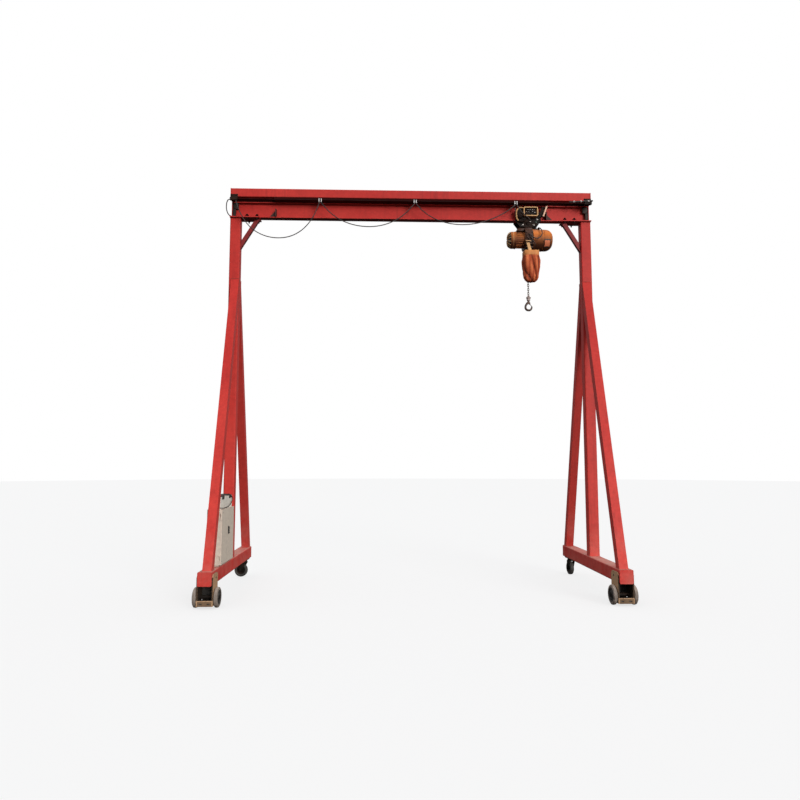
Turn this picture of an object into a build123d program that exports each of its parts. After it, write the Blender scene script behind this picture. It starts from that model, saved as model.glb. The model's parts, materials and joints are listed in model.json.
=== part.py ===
"""Portal gantry crane on castors, with a trolley and an electric chain hoist.

X runs along the main beam, -Y is the side of the festoon cable, Z is up.
The origin is on the floor, under the middle of the crane. Sizes are in millimetres.
"""
import os
from math import atan2, cos, pi, radians, sin, tan

from build123d import *

os.makedirs("parts", exist_ok=True)

# Overall sizes
total_height = 5000
beam_length = 4600
leg_spacing = 4500
running_gap = 0.3
bore_gap = 0.05
overlap = 2

# Main beam: a rolled I section under a closed cap
cap_width = 280
cap_height = 145
cap_wall = 5
under_box_height = 32
under_box_inset = 550
i_height = 200
i_width = 100
i_web = 6
i_flange = 9
i_root_radius = 12
end_plate = 8
saddle_plate = 12
saddle_width = 180
saddle_overhang = 2

# Legs
rail_width = 150
rail_height = 150
rail_length = 2200
rail_wall = 6
rail_clearance = 240
post_width = 130
post_depth = 120
post_wall = 6
post_corner = 12
diagonal_size = 100
diagonal_wall = 5
diagonal_foot = 1062
diagonal_top = 3850
brace_size = 50
brace_wall = 4
brace_drop = 398
brace_reach = 240

# Front wheel units
front_wheel_diameter = 215
front_wheel_width = 42
front_wheel_edge = 7
front_axle_inset = 130
front_axle_diameter = 40
bracket_plate = 12
bracket_length = 210
bracket_lap = 120
bracket_heel = 50
bracket_corner = 30
bracket_hole = 24
bracket_hole_setback = 30
bracket_hole_height = 70
bracket_wheel_gap = 5
sweeper_height = 60
sweeper_depth = 60
sweeper_ground_gap = 28
sweeper_plate = 8
sweeper_slot_length = 34
sweeper_slot_height = 12
sweeper_slot_spacing = 84

# Rear castors
castor_inset = 125
castor_wheel_diameter = 180
castor_wheel_width = 60
castor_wheel_edge = 9
castor_hub_diameter = 56
castor_hub_length = 4
castor_trail = 35
castor_plate = 10
castor_plate_size = 130
castor_fork_plate = 6
castor_fork_gap = 7
castor_fork_width = 84
castor_crown = 8
castor_crown_gap = 10
castor_axle_diameter = 20
castor_axle_boss = 32
castor_nut_length = 6
castor_bearing_diameter = 90
castor_turns = {"left": 83, "right": 4}

# Control cabinet on the left leg
cabinet_width = 600
cabinet_height = 608
cabinet_depth = 150
cabinet_wall = 3
cabinet_post_gap = 95
cabinet_foot = 20
cabinet_foot_width = 40
cabinet_foot_inset = 60
door_thickness = 16
door_gap = 0.5
door_edge_gap = 1
hinge_offset = 10
hinge_pin_diameter = 6
hinge_barrel_diameter = 13
hinge_barrel_length = 50
hinge_lug_length = 12
hinge_inset = 70
handle_width = 22
handle_height = 90
handle_depth = 18
handle_centre_height = 377
handle_offset = 12
head_height = 135
head_inset = 10
head_diagonal_gap = 14
head_cable_diameter = 9

# Trolley and its end stops
trolley_length = 330
trolley_foot_length = 210
trolley_plate = 8
trolley_plate_height = 200
trolley_plate_drop = 90
trolley_taper_height = 80
trolley_wheel_diameter = 74
trolley_wheel_width = 26
trolley_hub_diameter = 30
trolley_wheel_base = 190
trolley_side_gap = 8
suspension_diameter = 30
suspension_drop = 45
suspension_boss_diameter = 46
suspension_boss_length = 10
suspension_end = 5
bumper_low = 39
bumper_height = 140
bumper_width = 66
bumper_low_reach = 200
bumper_lean = 48
bumper_flange_width = 34
bumper_flange = 7
gear_cover_width = 138
gear_cover_height = 196
gear_cover_depth = 32
gear_cover_offset = 92
gear_cover_top_gap = 40
gear_cover_bevel = 12
drive_end_diameter = 58
drive_end_length = 26
drive_end_drop = 24
drive_end_offset = 16
box_width = 187
box_height = 123
box_depth = 40
box_standoff = 34
box_frame = 15
box_corner = 14
box_recess = 26
box_offset = 22
box_top_gap = 48
box_hanger_width = 120
stop_leg_inset = 516
stop_gap = 10
stop_plate = 12
stop_height = 100
stop_overhang = 22
stop_gusset_length = 85
stop_gusset_plate = 8

# Hoist
hoist_centre_drop = 247
housing_length = 100
housing_width = 250
housing_height = 240
housing_corner = 36
motor_diameter = 208
motor_length = 211
motor_cap_length = 46
motor_cap_bevel = 26
motor_fins = 4
motor_fin_pitch = 30
motor_fin_width = 9
motor_fin_height = 6
motor_foot_gap = 22
cover_length = 265
cover_diameter = 288
cover_flange = 16
cover_flange_height = 6
cover_dome_length = 86
cover_dome_steps = 4
cover_dome_turn = 70
lug_width = 60
lug_thickness = 40
lug_top_wall = 10

# Chain, bag and hook
chain_wire = 8
chain_inner_length = 27
chain_inner_width = 10
chain_links = 24
chain_pin_diameter = 6
chain_clearance = 0.2
chain_entry = 28
chain_throat = 40
chain_throat_depth = 60
bag_width = 230
bag_depth = 200
bag_height = 386
bag_corner = 60
bag_offset = 168
bag_drop = 90
bag_sections = ((0.83, 1), (0.83, 0.86), (1, 0.68), (0.87, 0.34), (0.75, 0.1), (0.5, 0))
hanger_plate = 6
hanger_width = 40
hanger_lap = 53
hanger_lean = 35
hanger_offset = -23
hanger_top_width = 180
hanger_top_depth = 150
block_diameter = 62
block_low_diameter = 44
block_height = 42
block_neck = 12
block_top_gap = 2
ear_gap = 1
ear_plate = 10
ear_width = 24
ear_wall = 6
hook_drop = 85
hook_outer_radius = 56
hook_inner_radius = 27
hook_throat_width = 27
hook_throat_angle = 40
hook_thickness = 26
hook_neck_radius = 17
hook_neck_height = 66
hook_neck_bore_radius = 4
hook_neck_bore_height = 44
shank_diameter = 26
shank_gap = 0.3
latch_width = 12
latch_thickness = 4
latch_reach = 37
latch_pin_diameter = 4
latch_pin_depth = 6
latch_eye_diameter = 9
latch_notch = 15
latch_gap = 0.3

# Festoon
wire_diameter = 6
wire_offset = 25
wire_drop = 5
wire_bracket_width = 92
wire_bracket_arm = 32
wire_bracket_plate = 6
wire_bracket_height = 86
wire_bracket_nose = 14
clip_length = 46
clip_width = 20
clip_height = 40
clip_top = 12
clip_bore_gap = 1.5
tow_arm_width = 15
tow_arm_height = 12
tow_arm_top = 14
tow_lug_height = 70
tow_lug_plate = 6
cable_diameter = 12
clip_1_x = -1167
clip_2_x = 36
tow_clip_lead = 178
cable_bend_share = 0.45
bundle_diameter = 20
loop_start_inset = 74
loop_clip_gap = 7
loop_tow_gap = 4

# Levels and places that follow from the sizes above
cap_bottom = total_height - cap_height
beam_bottom = cap_bottom - i_height
flange_top = beam_bottom + i_flange
post_top = beam_bottom - saddle_plate
rail_top = rail_clearance + rail_height
leg_x = leg_spacing / 2
post_inner_x = leg_x - post_width / 2
beam_half = beam_length / 2
profile_half = beam_half - end_plate
under_box_half = beam_half - under_box_inset
stop_x = leg_x - stop_leg_inset
bumper_reach = bumper_low_reach + bumper_lean * (i_flange + stop_height - bumper_low) / bumper_height
hoist_x = stop_x - stop_gap - bumper_reach
hoist_z = beam_bottom - hoist_centre_drop
wire_y = -(cap_width / 2 + wire_offset)
wire_z = cap_bottom - wire_drop
tow_clip_x = hoist_x - tow_clip_lead
front_axle_y = -(rail_length / 2 - front_axle_inset)
front_axle_z = front_wheel_diameter / 2
castor_y = rail_length / 2 - castor_inset

LEGS = (("left", -1), ("right", 1))
SIDES = (-1, 1)


def block(x, y, z):
    """A box between two X, two Y and two Z planes."""
    size = Box(abs(x[1] - x[0]), abs(y[1] - y[0]), abs(z[1] - z[0]))
    return Pos(sum(x) / 2, sum(y) / 2, sum(z) / 2) * size


def rod(start, end, diameter):
    """A round bar between two points."""
    axis = Vector(*end) - Vector(*start)
    return extrude(Plane(origin=start, z_dir=axis) * Circle(diameter / 2), axis.length)


def prism(plane, points, half_width):
    """A flat outline carried to both sides of its plane."""
    outline = make_face(plane * Polyline(*points, close=True))
    return extrude(outline, half_width, both=True)


def side_plane(x):
    """A plane across the beam, whose outline points are given as Y and Z."""
    return Plane(origin=(x, 0, 0), x_dir=(0, 1, 0), z_dir=(1, 0, 0))


def front_plane(y):
    """A plane along the beam, whose outline points are given as X and Z."""
    return Plane(origin=(0, y, 0), x_dir=(1, 0, 0), z_dir=(0, -1, 0))


def turned(points, x, z):
    """A turned shape about an axis along X, from points given as X and radius."""
    outline = [(x + along, z + radius) for along, radius in points]
    closed = [(outline[0][0], z), *outline, (outline[-1][0], z)]
    face = make_face(front_plane(0) * Polyline(*closed, close=True))
    return revolve(face, Axis((x, 0, z), (1, 0, 0)))


def section_along_x(outline, z, x):
    """A profile, drawn as Y and Z about the height z, carried between two X planes."""
    place = Plane(origin=(x[0], 0, z), x_dir=(0, 1, 0), z_dir=(1, 0, 0))
    return extrude(place * outline, x[1] - x[0])


nodes = {}


def save(name, *solids):
    """Adds solids to a node. Like pieces on one body share a node."""
    nodes.setdefault(name, []).extend(solids)


def export_nodes():
    for name, solids in nodes.items():
        shape = solids[0] if len(solids) == 1 else Compound(solids)
        export_step(shape, f"parts/{name}.step")


# Main beam
def i_beam():
    pocket = (i_width - i_web) / 2
    outline = Rectangle(i_width, i_height)
    for side in SIDES:
        cut = Rectangle(pocket, i_height - 2 * i_flange)
        outline -= Pos(side * (i_web + pocket) / 2, 0) * cut
    roots = outline.vertices().filter_by(lambda v: abs(v.X) < i_web)
    outline = fillet(roots, i_root_radius)
    save("i_beam", section_along_x(outline, beam_bottom + i_height / 2, (-profile_half, profile_half)))


def closed_section(width, height, wall):
    """A rounded rectangular tube section."""
    bore = RectangleRounded(width - 2 * wall, height - 2 * wall, wall)
    return RectangleRounded(width, height, 2 * wall) - bore


def under_box_section():
    """A tube section that is square above and rounded below."""
    outline = Rectangle(cap_width, under_box_height)
    outline = fillet(outline.vertices().sort_by(Axis.Y)[:2], 2 * cap_wall)
    bore = RectangleRounded(cap_width - 2 * cap_wall, under_box_height - 2 * cap_wall, cap_wall)
    return outline - bore


def beam_cap():
    """The cap, a shallower box under its middle, and a packing over the beam at each end."""
    height = cap_height - under_box_height
    section = closed_section(cap_width, height, cap_wall)
    save("beam_cap", section_along_x(section, total_height - height / 2, (-profile_half, profile_half)))
    under_z = cap_bottom + under_box_height / 2
    section = under_box_section()
    save("cap_under_box", section_along_x(section, under_z, (-under_box_half, under_box_half)))
    for x in ((-profile_half, -under_box_half), (under_box_half, profile_half)):
        section = closed_section(i_width, under_box_height, cap_wall)
        save("cap_packings", section_along_x(section, under_z, x))


def beam_end_plates():
    for sign in SIDES:
        x = (sign * profile_half, sign * beam_half)
        plate = block(x, (-cap_width / 2, cap_width / 2), (cap_bottom, total_height))
        plate += block(x, (-i_width / 2, i_width / 2), (beam_bottom, cap_bottom))
        save("beam_end_plates", plate)


def saddle_plates():
    for _, sign in LEGS:
        outer = leg_x + post_width / 2 + saddle_overhang
        inner = post_inner_x - brace_reach - saddle_overhang
        y = (-saddle_width / 2, saddle_width / 2)
        save("saddle_plates", block((sign * inner, sign * outer), y, (post_top, beam_bottom)))


# Legs
def posts():
    bore_corner = post_corner - post_wall
    section = RectangleRounded(post_width, post_depth, post_corner)
    section -= RectangleRounded(post_width - 2 * post_wall, post_depth - 2 * post_wall, bore_corner)
    for side, sign in LEGS:
        place = Plane(origin=(sign * leg_x, 0, rail_top))
        save(f"post_{side}", extrude(place * section, post_top - rail_top))


def diagonal_outline(inset):
    """The side view of a front diagonal, or of its bore when inset is the wall."""
    rise = diagonal_top - rail_top
    run = diagonal_foot - post_depth / 2
    lean = atan2(run, rise)
    slope = run / rise
    across = diagonal_size / cos(lean)
    skin = inset / cos(lean)
    foot = -diagonal_foot + skin
    heel = -diagonal_foot + across - skin
    face = -post_depth / 2
    return [
        (foot, rail_top),
        (heel, rail_top),
        (face, rail_top + (face - heel) / slope),
        (face, rail_top + (face - foot) / slope),
    ]


def diagonals():
    for side, sign in LEGS:
        place = side_plane(sign * (post_inner_x + diagonal_size / 2))
        front = prism(place, diagonal_outline(0), diagonal_size / 2)
        front -= prism(place, diagonal_outline(diagonal_wall), diagonal_size / 2 - diagonal_wall)
        save(f"front_diagonal_{side}", front)
        save(f"rear_diagonal_{side}", mirror(front, Plane.XZ))


def bottom_rails():
    outline = RectangleRounded(rail_width, rail_height, 2 * rail_wall)
    bore = RectangleRounded(rail_width - 2 * rail_wall, rail_height - 2 * rail_wall, rail_wall)
    for side, sign in LEGS:
        middle = (sign * leg_x, 0, rail_clearance + rail_height / 2)
        place = Plane(origin=middle, x_dir=(1, 0, 0), z_dir=(0, 1, 0))
        rail = extrude(place * outline, rail_length / 2, both=True)
        rail -= extrude(place * bore, rail_length / 2 - rail_wall, both=True)
        save(f"bottom_rail_{side}", rail)


def knee_brace_outline(inset):
    lean = atan2(brace_reach, brace_drop)
    across = brace_size / cos(lean)
    skin = inset / cos(lean)
    slope = brace_reach / brace_drop
    low = post_inner_x - brace_reach + skin
    high = post_inner_x - brace_reach + across - skin
    return [
        (low, post_top),
        (high, post_top),
        (post_inner_x, post_top - (post_inner_x - high) / slope),
        (post_inner_x, post_top - (post_inner_x - low) / slope),
    ]


def knee_braces():
    brace = prism(front_plane(0), knee_brace_outline(0), brace_size / 2)
    brace -= prism(front_plane(0), knee_brace_outline(brace_wall), brace_size / 2 - brace_wall)
    save("knee_braces", mirror(brace, Plane.YZ), brace)


# Front wheel units
bracket_inner = rail_width / 2
bracket_outer = bracket_inner + bracket_plate
wheel_inner = bracket_outer + bracket_wheel_gap
wheel_outer = wheel_inner + front_wheel_width


def bracket_outline():
    """The side plate: lapped on the rail, with its heel cut back below the axle."""
    back = front_axle_y + bracket_length / 2
    front = front_axle_y - bracket_length / 2
    top = rail_clearance + bracket_lap
    return [
        (front, sweeper_ground_gap),
        (back - bracket_heel, sweeper_ground_gap),
        (back, front_axle_z),
        (back, top - bracket_corner),
        (back - bracket_corner, top),
        (front + bracket_corner, top),
        (front, top - bracket_corner),
    ]


def bracket_side_plate(x):
    plate = prism(side_plane(x), bracket_outline(), bracket_plate / 2)
    start = x - bracket_plate
    end = x + bracket_plate
    hole_y = front_axle_y + bracket_hole_setback
    hole_z = rail_clearance + bracket_hole_height
    plate -= rod((start, hole_y, hole_z), (end, hole_y, hole_z), bracket_hole)
    bore = front_axle_diameter + 2 * bore_gap
    plate -= rod((start, front_axle_y, front_axle_z), (end, front_axle_y, front_axle_z), bore)
    return plate


def sweeper(centre_x):
    """The low cross plate: an upright with two slots under a flat top flange."""
    front = front_axle_y - bracket_length / 2
    top = sweeper_ground_gap + sweeper_height
    x = (centre_x - bracket_inner, centre_x + bracket_inner)
    cross = block(x, (front, front + sweeper_plate), (sweeper_ground_gap, top))
    cross += block(x, (front, front + sweeper_depth), (top - sweeper_plate, top))
    slot_z = sweeper_ground_gap + (sweeper_height - sweeper_plate) / 2
    for way in SIDES:
        slot_x = centre_x + way * sweeper_slot_spacing / 2
        opening = Pos(slot_x, slot_z) * SlotOverall(sweeper_slot_length, sweeper_slot_height)
        cross -= extrude(front_plane(front) * opening, sweeper_plate, both=True)
    return cross


def front_brackets():
    for side, sign in LEGS:
        centre_x = sign * leg_x
        unit = sweeper(centre_x)
        for way in SIDES:
            unit += bracket_side_plate(centre_x + way * (bracket_inner + bracket_plate / 2))
        save(f"front_bracket_{side}", unit)


def front_wheels():
    for side, sign in LEGS:
        centre_x = sign * leg_x
        for way in SIDES:
            inner_face = (centre_x + way * wheel_inner, front_axle_y, front_axle_z)
            place = Plane(origin=inner_face, z_dir=(way, 0, 0))
            wheel = extrude(place * Circle(front_wheel_diameter / 2), front_wheel_width)
            wheel = chamfer(wheel.edges().filter_by(GeomType.CIRCLE), front_wheel_edge)
            wheel -= extrude(place * Circle(front_axle_diameter / 2), front_wheel_width)
            save(f"front_wheels_{side}", wheel)
        start = (centre_x - wheel_outer, front_axle_y, front_axle_z)
        end = (centre_x + wheel_outer, front_axle_y, front_axle_z)
        save(f"front_axle_{side}", rod(start, end, front_axle_diameter))


# Rear castors
castor_cheek = castor_wheel_width / 2 + castor_fork_gap
castor_axle_z = castor_wheel_diameter / 2
castor_plate_bottom = rail_clearance - castor_plate


def castor_cheek_outline():
    half = castor_fork_width / 2
    boss = castor_axle_boss / 2
    crown_bottom = castor_wheel_diameter + castor_crown_gap
    return [
        (-half, crown_bottom),
        (castor_trail - boss, castor_axle_z - boss),
        (castor_trail + boss, castor_axle_z - boss),
        (castor_trail + boss, castor_axle_z + boss),
        (half, crown_bottom),
    ]


def castor_fork():
    """The crown with its swivel bearing, two cheeks and the axle bolt."""
    crown_bottom = castor_wheel_diameter + castor_crown_gap
    outer = castor_cheek + castor_fork_plate
    half = castor_fork_width / 2
    fork = rod((0, 0, crown_bottom), (0, 0, castor_plate_bottom - running_gap), castor_bearing_diameter)
    fork += block((-outer, outer), (-half, half), (crown_bottom, crown_bottom + castor_crown))
    for way in SIDES:
        x = way * (castor_cheek + castor_fork_plate / 2)
        fork += prism(side_plane(x), castor_cheek_outline(), castor_fork_plate / 2)
    reach = outer + castor_nut_length
    start = (-reach, castor_trail, castor_axle_z)
    end = (reach, castor_trail, castor_axle_z)
    return fork + rod(start, end, castor_axle_diameter)


def castor_wheel():
    half = castor_wheel_width / 2
    place = Plane(origin=(-half, castor_trail, castor_axle_z), z_dir=(1, 0, 0))
    wheel = extrude(place * Circle(castor_wheel_diameter / 2), castor_wheel_width)
    wheel = chamfer(wheel.edges().filter_by(GeomType.CIRCLE), castor_wheel_edge)
    reach = half + castor_hub_length
    start = (-reach, castor_trail, castor_axle_z)
    end = (reach, castor_trail, castor_axle_z)
    wheel += rod(start, end, castor_hub_diameter)
    return wheel - rod(start, end, castor_axle_diameter + 2 * bore_gap)


def rear_castors():
    for side, sign in LEGS:
        pivot = Pos(sign * leg_x, castor_y, 0)
        across = (-castor_plate_size / 2, castor_plate_size / 2)
        save("castor_plates", pivot * block(across, across, (castor_plate_bottom, rail_clearance)))
        turn = pivot * Rot(0, 0, castor_turns[side])
        save(f"castor_fork_{side}", turn * castor_fork())
        save(f"castor_wheel_{side}", turn * castor_wheel())


# Control cabinet
cabinet_front_x = -(leg_x - rail_width / 2)
cabinet_back_x = cabinet_front_x - cabinet_depth
cabinet_near_y = -post_depth / 2 - cabinet_post_gap - cabinet_width
cabinet_y = (cabinet_near_y, cabinet_near_y + cabinet_width)
cabinet_z = (rail_top + cabinet_foot, rail_top + cabinet_foot + cabinet_height)
door_x = (cabinet_front_x + door_gap, cabinet_front_x + door_gap + door_thickness)
hinge_x = cabinet_front_x + door_gap + door_thickness / 2
hinge_y = cabinet_near_y - hinge_offset


def hinge_levels():
    """The low and the high end of each hinge barrel."""
    middles = (cabinet_z[0] + hinge_inset, cabinet_z[1] - hinge_inset)
    return [(middle - hinge_barrel_length / 2, middle + hinge_barrel_length / 2) for middle in middles]


def cabinet_body():
    body = block((cabinet_back_x, cabinet_front_x), cabinet_y, cabinet_z)
    inner_y = (cabinet_y[0] + cabinet_wall, cabinet_y[1] - cabinet_wall)
    inner_z = (cabinet_z[0] + cabinet_wall, cabinet_z[1] - cabinet_wall)
    body -= block((cabinet_back_x + cabinet_wall, cabinet_front_x), inner_y, inner_z)
    half = cabinet_foot_width / 2
    foot_x = (cabinet_back_x + half, cabinet_front_x - half)
    for y in (cabinet_y[0] + cabinet_foot_inset, cabinet_y[1] - cabinet_foot_inset):
        body += block(foot_x, (y - half, y + half), (rail_top, cabinet_z[0]))
    lug_x = (cabinet_front_x - hinge_barrel_diameter, hinge_x)
    lug_y = (hinge_y - hinge_barrel_diameter / 2, cabinet_y[0] + cabinet_wall)
    for low, high in hinge_levels():
        for z in ((low - running_gap - hinge_lug_length, low - running_gap),
                  (high + running_gap, high + running_gap + hinge_lug_length)):
            lug = block(lug_x, lug_y, z) - block((cabinet_front_x, hinge_x), (cabinet_y[0], cabinet_y[1]), z)
            body += lug + rod((hinge_x, hinge_y, z[0]), (hinge_x, hinge_y, z[1]), hinge_barrel_diameter)
        body += rod((hinge_x, hinge_y, low - hinge_lug_length), (hinge_x, hinge_y, high + hinge_lug_length),
                    hinge_pin_diameter)
    save("cabinet_body", body)


def cabinet_door():
    """A pan door with its barrels round the hinge pins, and its handle."""
    near = cabinet_y[0] + door_edge_gap
    door = block(door_x, (near, cabinet_y[1]), cabinet_z)
    hollow_y = (near + cabinet_wall, cabinet_y[1] - cabinet_wall)
    hollow_z = (cabinet_z[0] + cabinet_wall, cabinet_z[1] - cabinet_wall)
    door -= block((door_x[0], door_x[1] - cabinet_wall), hollow_y, hollow_z)
    arm_x = (hinge_x, door_x[1])
    for low, high in hinge_levels():
        door += rod((hinge_x, hinge_y, low), (hinge_x, hinge_y, high), hinge_barrel_diameter)
        door += block(arm_x, (hinge_y, near + cabinet_wall), (low, high))
        door -= rod((hinge_x, hinge_y, low), (hinge_x, hinge_y, high), hinge_pin_diameter + 2 * bore_gap)
    save("cabinet_door", door)
    middle = sum(cabinet_y) / 2 + handle_offset
    low = rail_top + handle_centre_height - handle_height / 2
    grip_x = (door_x[1], door_x[1] + handle_depth)
    grip_y = (middle - handle_width / 2, middle + handle_width / 2)
    grip = block(grip_x, grip_y, (low, low + handle_height))
    save("door_handle", chamfer(grip.edges().filter_by(Axis.X), handle_width / 4))


def diagonal_back_y(z):
    """Where the back of a front diagonal is at a height."""
    heel = diagonal_outline(0)[1]
    slope = (diagonal_foot - post_depth / 2) / (diagonal_top - rail_top)
    return heel[0] + (z - heel[1]) * slope


head_top_z = cabinet_z[1] + head_height
head_near_y = max(cabinet_y[0] + head_inset, diagonal_back_y(head_top_z) + head_diagonal_gap)


def cabinet_head():
    """The fixed head above the door, clear of the diagonal."""
    x = (cabinet_back_x + head_inset, cabinet_front_x - head_inset)
    save("cabinet_head", block(x, (head_near_y, cabinet_y[1] - head_inset), (cabinet_z[1], head_top_z)))


# Trolley
plate_inner_y = i_width / 2 + trolley_side_gap
plate_outer_y = plate_inner_y + trolley_plate
plate_bottom_z = beam_bottom - trolley_plate_drop
plate_top_z = plate_bottom_z + trolley_plate_height
suspension_z = beam_bottom - suspension_drop
trolley_left_x = hoist_x - trolley_length / 2
trolley_right_x = hoist_x + trolley_length / 2


def trolley_side_plates():
    """Two plates that taper below the beam to the suspension bar."""
    foot = trolley_foot_length / 2
    waist = plate_bottom_z + trolley_taper_height
    outline = [
        (hoist_x - foot, plate_bottom_z),
        (hoist_x + foot, plate_bottom_z),
        (trolley_right_x, waist),
        (trolley_right_x, plate_top_z),
        (trolley_left_x, plate_top_z),
        (trolley_left_x, waist),
    ]
    start = (hoist_x, -plate_outer_y, suspension_z)
    end = (hoist_x, plate_outer_y, suspension_z)
    bore = rod(start, end, suspension_diameter)
    for way in SIDES:
        middle_y = way * (plate_inner_y + plate_outer_y) / 2
        save("trolley_side_plates", prism(front_plane(middle_y), outline, trolley_plate / 2) - bore)


def bumper_bracket():
    """The leaning plate on the front side plate, with the flange that meets the end stop."""
    low = beam_bottom + bumper_low
    high = low + bumper_height
    right = hoist_x + bumper_low_reach
    outline = [
        (right - bumper_width, low),
        (right, low),
        (right + bumper_lean, high),
        (right + bumper_lean - bumper_width, high),
    ]
    plate = prism(front_plane(-plate_outer_y - trolley_plate / 2), outline, trolley_plate / 2)
    edge = [
        (right - bumper_flange, low),
        (right, low),
        (right + bumper_lean, high),
        (right + bumper_lean - bumper_flange, high),
    ]
    flange_y = -plate_outer_y - bumper_flange_width / 2
    save("bumper_bracket", plate + prism(front_plane(flange_y), edge, bumper_flange_width / 2))


def trolley_wheels():
    axle_z = flange_top + running_gap + trolley_wheel_diameter / 2
    for way in SIDES:
        outer = plate_inner_y - running_gap
        inner = outer - trolley_wheel_width
        for along in SIDES:
            x = hoist_x + along * trolley_wheel_base / 2
            wheel = rod((x, way * inner, axle_z), (x, way * outer, axle_z), trolley_wheel_diameter)
            wheel += rod((x, way * outer, axle_z), (x, way * plate_inner_y, axle_z), trolley_hub_diameter)
            save("trolley_wheels", wheel)


def suspension_bar():
    reach = plate_outer_y + suspension_boss_length + suspension_end
    bar = rod((hoist_x, -reach, suspension_z), (hoist_x, reach, suspension_z), suspension_diameter)
    for way in SIDES:
        start = (hoist_x, way * plate_outer_y, suspension_z)
        end = (hoist_x, way * (plate_outer_y + suspension_boss_length), suspension_z)
        bar += rod(start, end, suspension_boss_diameter)
    save("suspension_bar", bar)


def trolley_gearbox():
    """The rounded gear cover on the front side plate, with the round end of its drive."""
    x = hoist_x - gear_cover_offset
    z = cap_bottom - gear_cover_top_gap - gear_cover_height / 2
    slot = Pos(x, z) * SlotOverall(gear_cover_height, gear_cover_width, rotation=90)
    cover = extrude(front_plane(-plate_outer_y) * slot, gear_cover_depth)
    cover = chamfer(cover.faces().sort_by(Axis.Y)[0].edges(), gear_cover_bevel)
    drive_x = x - drive_end_offset
    drive_z = z - drive_end_drop
    face_y = -plate_outer_y - gear_cover_depth
    start = (drive_x, face_y + overlap, drive_z)
    end = (drive_x, face_y - drive_end_length, drive_z)
    save("trolley_gearbox", cover + rod(start, end, drive_end_diameter))


def trolley_box():
    """An open-fronted switch box with a rounded frame, on a hanger from the side plate."""
    middle = hoist_x + box_offset
    top = cap_bottom - box_top_gap
    back = -plate_outer_y - box_standoff
    x = (middle - box_width / 2, middle + box_width / 2)
    y = (back - box_depth, back)
    z = (top - box_height, top)
    box = chamfer(block(x, y, z).edges().filter_by(Axis.Y), box_corner)
    inner_x = (x[0] + box_frame, x[1] - box_frame)
    inner_z = (z[0] + box_frame, z[1] - box_frame)
    recess = block(inner_x, (y[0], y[0] + box_recess), inner_z)
    recess = chamfer(recess.edges().filter_by(Axis.Y), box_corner / 2)
    hanger_x = (x[1] - box_frame - box_hanger_width, x[1] - box_frame)
    hanger_z = (z[0], z[0] + box_frame)
    box += block(hanger_x, (back, -plate_outer_y), hanger_z)
    save("trolley_box", box - recess)


def trolley_stops():
    """On each side of the web: an upright plate on the flange and the gusset behind it."""
    for sign in SIDES:
        face = sign * stop_x
        back = face + sign * stop_plate
        for way in SIDES:
            snipe = i_root_radius + overlap
            outline = [
                (way * (i_web / 2 + snipe), flange_top),
                (way * (i_width / 2 + stop_overhang), flange_top),
                (way * (i_width / 2 + stop_overhang), flange_top + stop_height),
                (way * i_web / 2, flange_top + stop_height),
                (way * i_web / 2, flange_top + snipe),
            ]
            plate = prism(side_plane((face + back) / 2), outline, stop_plate / 2)
            middle_y = way * i_width / 4
            gusset = [
                (back, flange_top),
                (back + sign * stop_gusset_length, flange_top),
                (back, flange_top + stop_height - stop_plate),
            ]
            plate += prism(front_plane(middle_y), gusset, stop_gusset_plate / 2)
            save("trolley_stops", plate)


# Hoist
housing_x = (hoist_x - housing_length / 2, hoist_x + housing_length / 2)
housing_z = (hoist_z - housing_height / 2, hoist_z + housing_height / 2)


def hoist_housing():
    """The gear housing with its top lug, and the throat that the chain hangs in on a pin."""
    housing = block(housing_x, (-housing_width / 2, housing_width / 2), housing_z)
    housing = chamfer(housing.edges().filter_by(Axis.X), housing_corner)
    lug_x = (hoist_x - lug_width / 2, hoist_x + lug_width / 2)
    lug_top = suspension_z + suspension_diameter / 2 + lug_top_wall
    housing += block(lug_x, (-lug_thickness / 2, lug_thickness / 2), (housing_z[1] - overlap, lug_top))
    housing -= rod((hoist_x, -lug_thickness, suspension_z), (hoist_x, lug_thickness, suspension_z),
                   suspension_diameter)
    half = chain_throat / 2
    throat_z = (housing_z[0], housing_z[0] + chain_throat_depth)
    housing -= block((hoist_x - half, hoist_x + half), (-half, half), throat_z)
    pin_z = housing_z[0] + chain_entry - chain_wire - chain_pin_diameter / 2 - chain_clearance
    reach = half + overlap
    housing += rod((hoist_x, -reach, pin_z), (hoist_x, reach, pin_z), chain_pin_diameter)
    save("hoist_housing", housing)


def hoist_motor():
    """A motor with ring fins, and the fan cap at its end."""
    barrel = motor_length - motor_cap_length
    radius = motor_diameter / 2
    profile = [(0, radius)]
    for fin in range(motor_fins):
        start = -motor_foot_gap - fin * motor_fin_pitch
        end = start - motor_fin_width
        tip = radius + motor_fin_height
        profile += [(start, radius), (start, tip), (end, tip), (end, radius)]
    profile.append((-barrel, radius))
    save("hoist_motor", turned(profile, housing_x[0], hoist_z))
    cap_radius = radius + motor_fin_height / 2
    profile = [
        (-barrel, cap_radius),
        (-motor_length + motor_cap_bevel, cap_radius),
        (-motor_length + motor_cap_bevel / 3, cap_radius - motor_cap_bevel / 2),
        (-motor_length, cap_radius - motor_cap_bevel),
    ]
    save("motor_fan_cap", turned(profile, housing_x[0], hoist_z))


def control_cover():
    """A flanged cover that ends in a dome of short cones."""
    radius = cover_diameter / 2
    straight = cover_length - cover_dome_length
    turn = radians(cover_dome_turn)
    body = radius - cover_flange_height
    profile = [(0, radius), (cover_flange, radius), (cover_flange, body), (straight, body)]
    for step in range(1, cover_dome_steps + 1):
        angle = turn * step / cover_dome_steps
        drop = cover_dome_length * (1 - cos(angle)) / (1 - cos(turn))
        profile.append((straight + cover_dome_length * sin(angle) / sin(turn), body - drop))
    save("control_cover", turned(profile, housing_x[1], hoist_z))


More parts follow.
